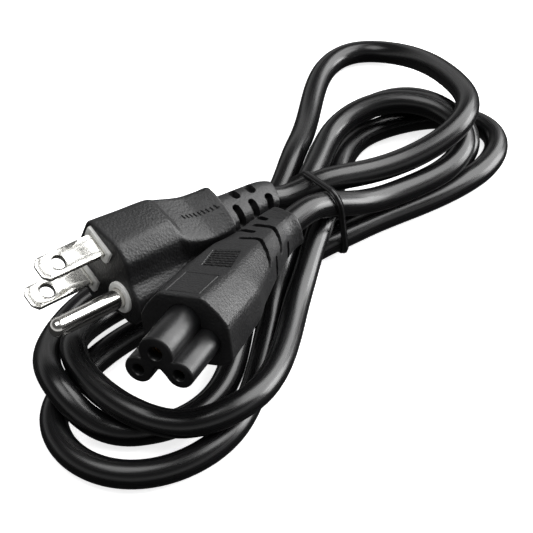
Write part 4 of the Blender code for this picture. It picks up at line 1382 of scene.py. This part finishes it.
@dataclass
class Studio:
    """Pale floor, soft lights and the camera at the photograph's angle."""

    camera_at: tuple = (-6.6, -288.79, 258.97)
    elevation: float = 43.0
    focal_px: float = 1424.13
    sensor_mm: float = 36.0

    # name, place (metres), side (metres) and power (watts) of each softbox; all face the part
    LAMPS = (
        ("key_softbox", (0.66, 0.34, 0.70), 1.0, 17.0),
        ("top_softbox", (-0.20, -0.10, 1.00), 0.6, 4.5),
        ("side_softbox", (0.95, 0.22, 0.16), 0.5, 7.0),
    )

    def build(self) -> None:
        """Make the camera, the floor, the world and the lights."""
        data = bpy.data.cameras.new("camera")
        data.sensor_width = self.sensor_mm
        data.lens = self.focal_px / IMAGE_SIDE * data.sensor_width
        data.clip_start = 0.01
        data.clip_end = 20.0
        camera = bpy.data.objects.new("camera", data)
        camera.location = Vector((np.array(self.camera_at) - MIDDLE) * MM)
        camera.rotation_euler = (np.radians(90 - self.elevation), 0, 0)
        bpy.context.scene.collection.objects.link(camera)
        bpy.context.scene.camera = camera
        self.floor()
        self.world()
        for lamp in self.LAMPS:
            self.lamp(*lamp)
        bpy.context.scene.view_settings.view_transform = "Standard"

    def floor(self) -> None:
        """A plain pale floor."""
        size = 6.0
        mesh = bpy.data.meshes.new("floor")
        corners = [(-size, -size, 0), (size, -size, 0), (size, size, 0), (-size, size, 0)]
        mesh.from_pydata(corners, [], [(0, 1, 2, 3)])
        obj = bpy.data.objects.new("floor", mesh)
        bpy.context.scene.collection.objects.link(obj)
        mat = bpy.data.materials.new("pale_floor")
        mat.use_nodes = True
        shader = mat.node_tree.nodes["Principled BSDF"]
        shader.inputs["Base Color"].default_value = linear("#f4f4f4")
        shader.inputs["Roughness"].default_value = 0.9
        shader.inputs["Specular IOR Level"].default_value = 0.1
        shader.inputs["Emission Color"].default_value = (1.0, 1.0, 1.0, 1.0)
        shader.inputs["Emission Strength"].default_value = 0.8
        mesh.materials.append(mat)
        # the floor's own light would fill the black undersides, which are dark in the photograph
        obj.visible_diffuse = False
        obj.visible_glossy = False

    def world(self) -> None:
        """Soft room light: brightest near the horizon, dimmer overhead, dark below."""
        world = bpy.data.worlds.new("studio")
        world.use_nodes = True
        tree = world.node_tree
        look = node(tree, "ShaderNodeTexCoord").outputs["Generated"]
        height = node(tree, "ShaderNodeSeparateXYZ", {"Vector": look}).outputs["Z"]
        ramp = node(tree, "ShaderNodeValToRGB", {"Fac": height})
        ramp.color_ramp.elements[0].position = 0.0
        ramp.color_ramp.elements[0].color = (0.03, 0.03, 0.03, 1.0)
        ramp.color_ramp.elements[1].position = 0.03
        ramp.color_ramp.elements[1].color = (0.75, 0.75, 0.75, 1.0)
        for at, level in ((0.3, 0.5), (0.5, 0.08), (1.0, 0.08)):
            ramp.color_ramp.elements.new(at).color = (level, level, level, 1.0)
        tree.links.new(ramp.outputs["Color"], tree.nodes["Background"].inputs["Color"])
        bpy.context.scene.world = world

    def lamp(self, name: str, at: tuple, size: float, watts: float) -> None:
        """A square soft light that faces the part.

        Args:
            name: Name of the light.
            at: Place, metres.
            size: Side, metres.
            watts: Power.
        """
        data = bpy.data.lights.new(name, "AREA")
        data.shape = "SQUARE"
        data.size = size
        data.energy = watts
        obj = bpy.data.objects.new(name, data)
        obj.location = at
        obj.rotation_euler = (-Vector(at)).to_track_quat("-Z", "Y").to_euler()
        bpy.context.scene.collection.objects.link(obj)


def dress(obj: bpy.types.Object, material: bpy.types.Material, slot: str,
          *nodes: str) -> bpy.types.Object:
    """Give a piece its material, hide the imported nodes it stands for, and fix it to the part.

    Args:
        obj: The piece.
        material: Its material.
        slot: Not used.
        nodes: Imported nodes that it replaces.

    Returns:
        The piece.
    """
    obj.data.materials.clear()
    obj.data.materials.append(material)
    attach(obj, "root")
    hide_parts(*nodes)
    LOG.info("%s: %d faces", obj.name, len(obj.data.polygons))
    return obj


def main() -> None:
    """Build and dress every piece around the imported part."""
    logging.basicConfig(level=logging.INFO, format="%(message)s")
    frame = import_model()
    overmould = OVERMOULD.build()
    plug = Plug()
    connector = Connector()
    pieces = [
        dress(plug.build_body(), overmould, "black_pvc", "plug_body"),
        dress(plug.build_carrier(), CARRIER_PLASTIC.build(), "white_insert", "pin_carrier"),
    ]
    nickel = BLADE_NICKEL.build()
    pieces.append(dress(plug.build_blade("line_blade", 1), nickel, "nickel_plate", "blade_line"))
    pieces.append(dress(plug.build_blade("neutral_blade", -1), nickel, "nickel_plate", "blade_neutral"))
    pieces.append(dress(plug.build_pin(), PIN_NICKEL.build(), "nickel_plate", "ground_pin"))
    body = dress(connector.build_body(), overmould, "black_pvc", "connector_body")
    nose = dress(connector.build_nose(), NOSE_PLASTIC.build(), "black_insert", "connector_nose")
    bronze = CONTACT_BRONZE.build()
    contacts = [frame["nodes"][name] for name in ("contact_line", "contact_neutral", "contact_earth")]
    for contact in contacts:
        contact.data.materials.clear()
        contact.data.materials.append(bronze)
    cord = Cord(plug, connector, Settling())
    tube, line = cord.build()
    dress(tube, CORD_PVC.build(), "black_sheath", "power_cord")
    dress(Tie(cord.settling).build(line), TIE_PVC.build(), "tie_ribbon", "twist_tie")
    length = run_length(line)[-1] * MM
    LOG.info("cord %.3f m", length)

    Studio().build()


if __name__ == "__main__":
    main()
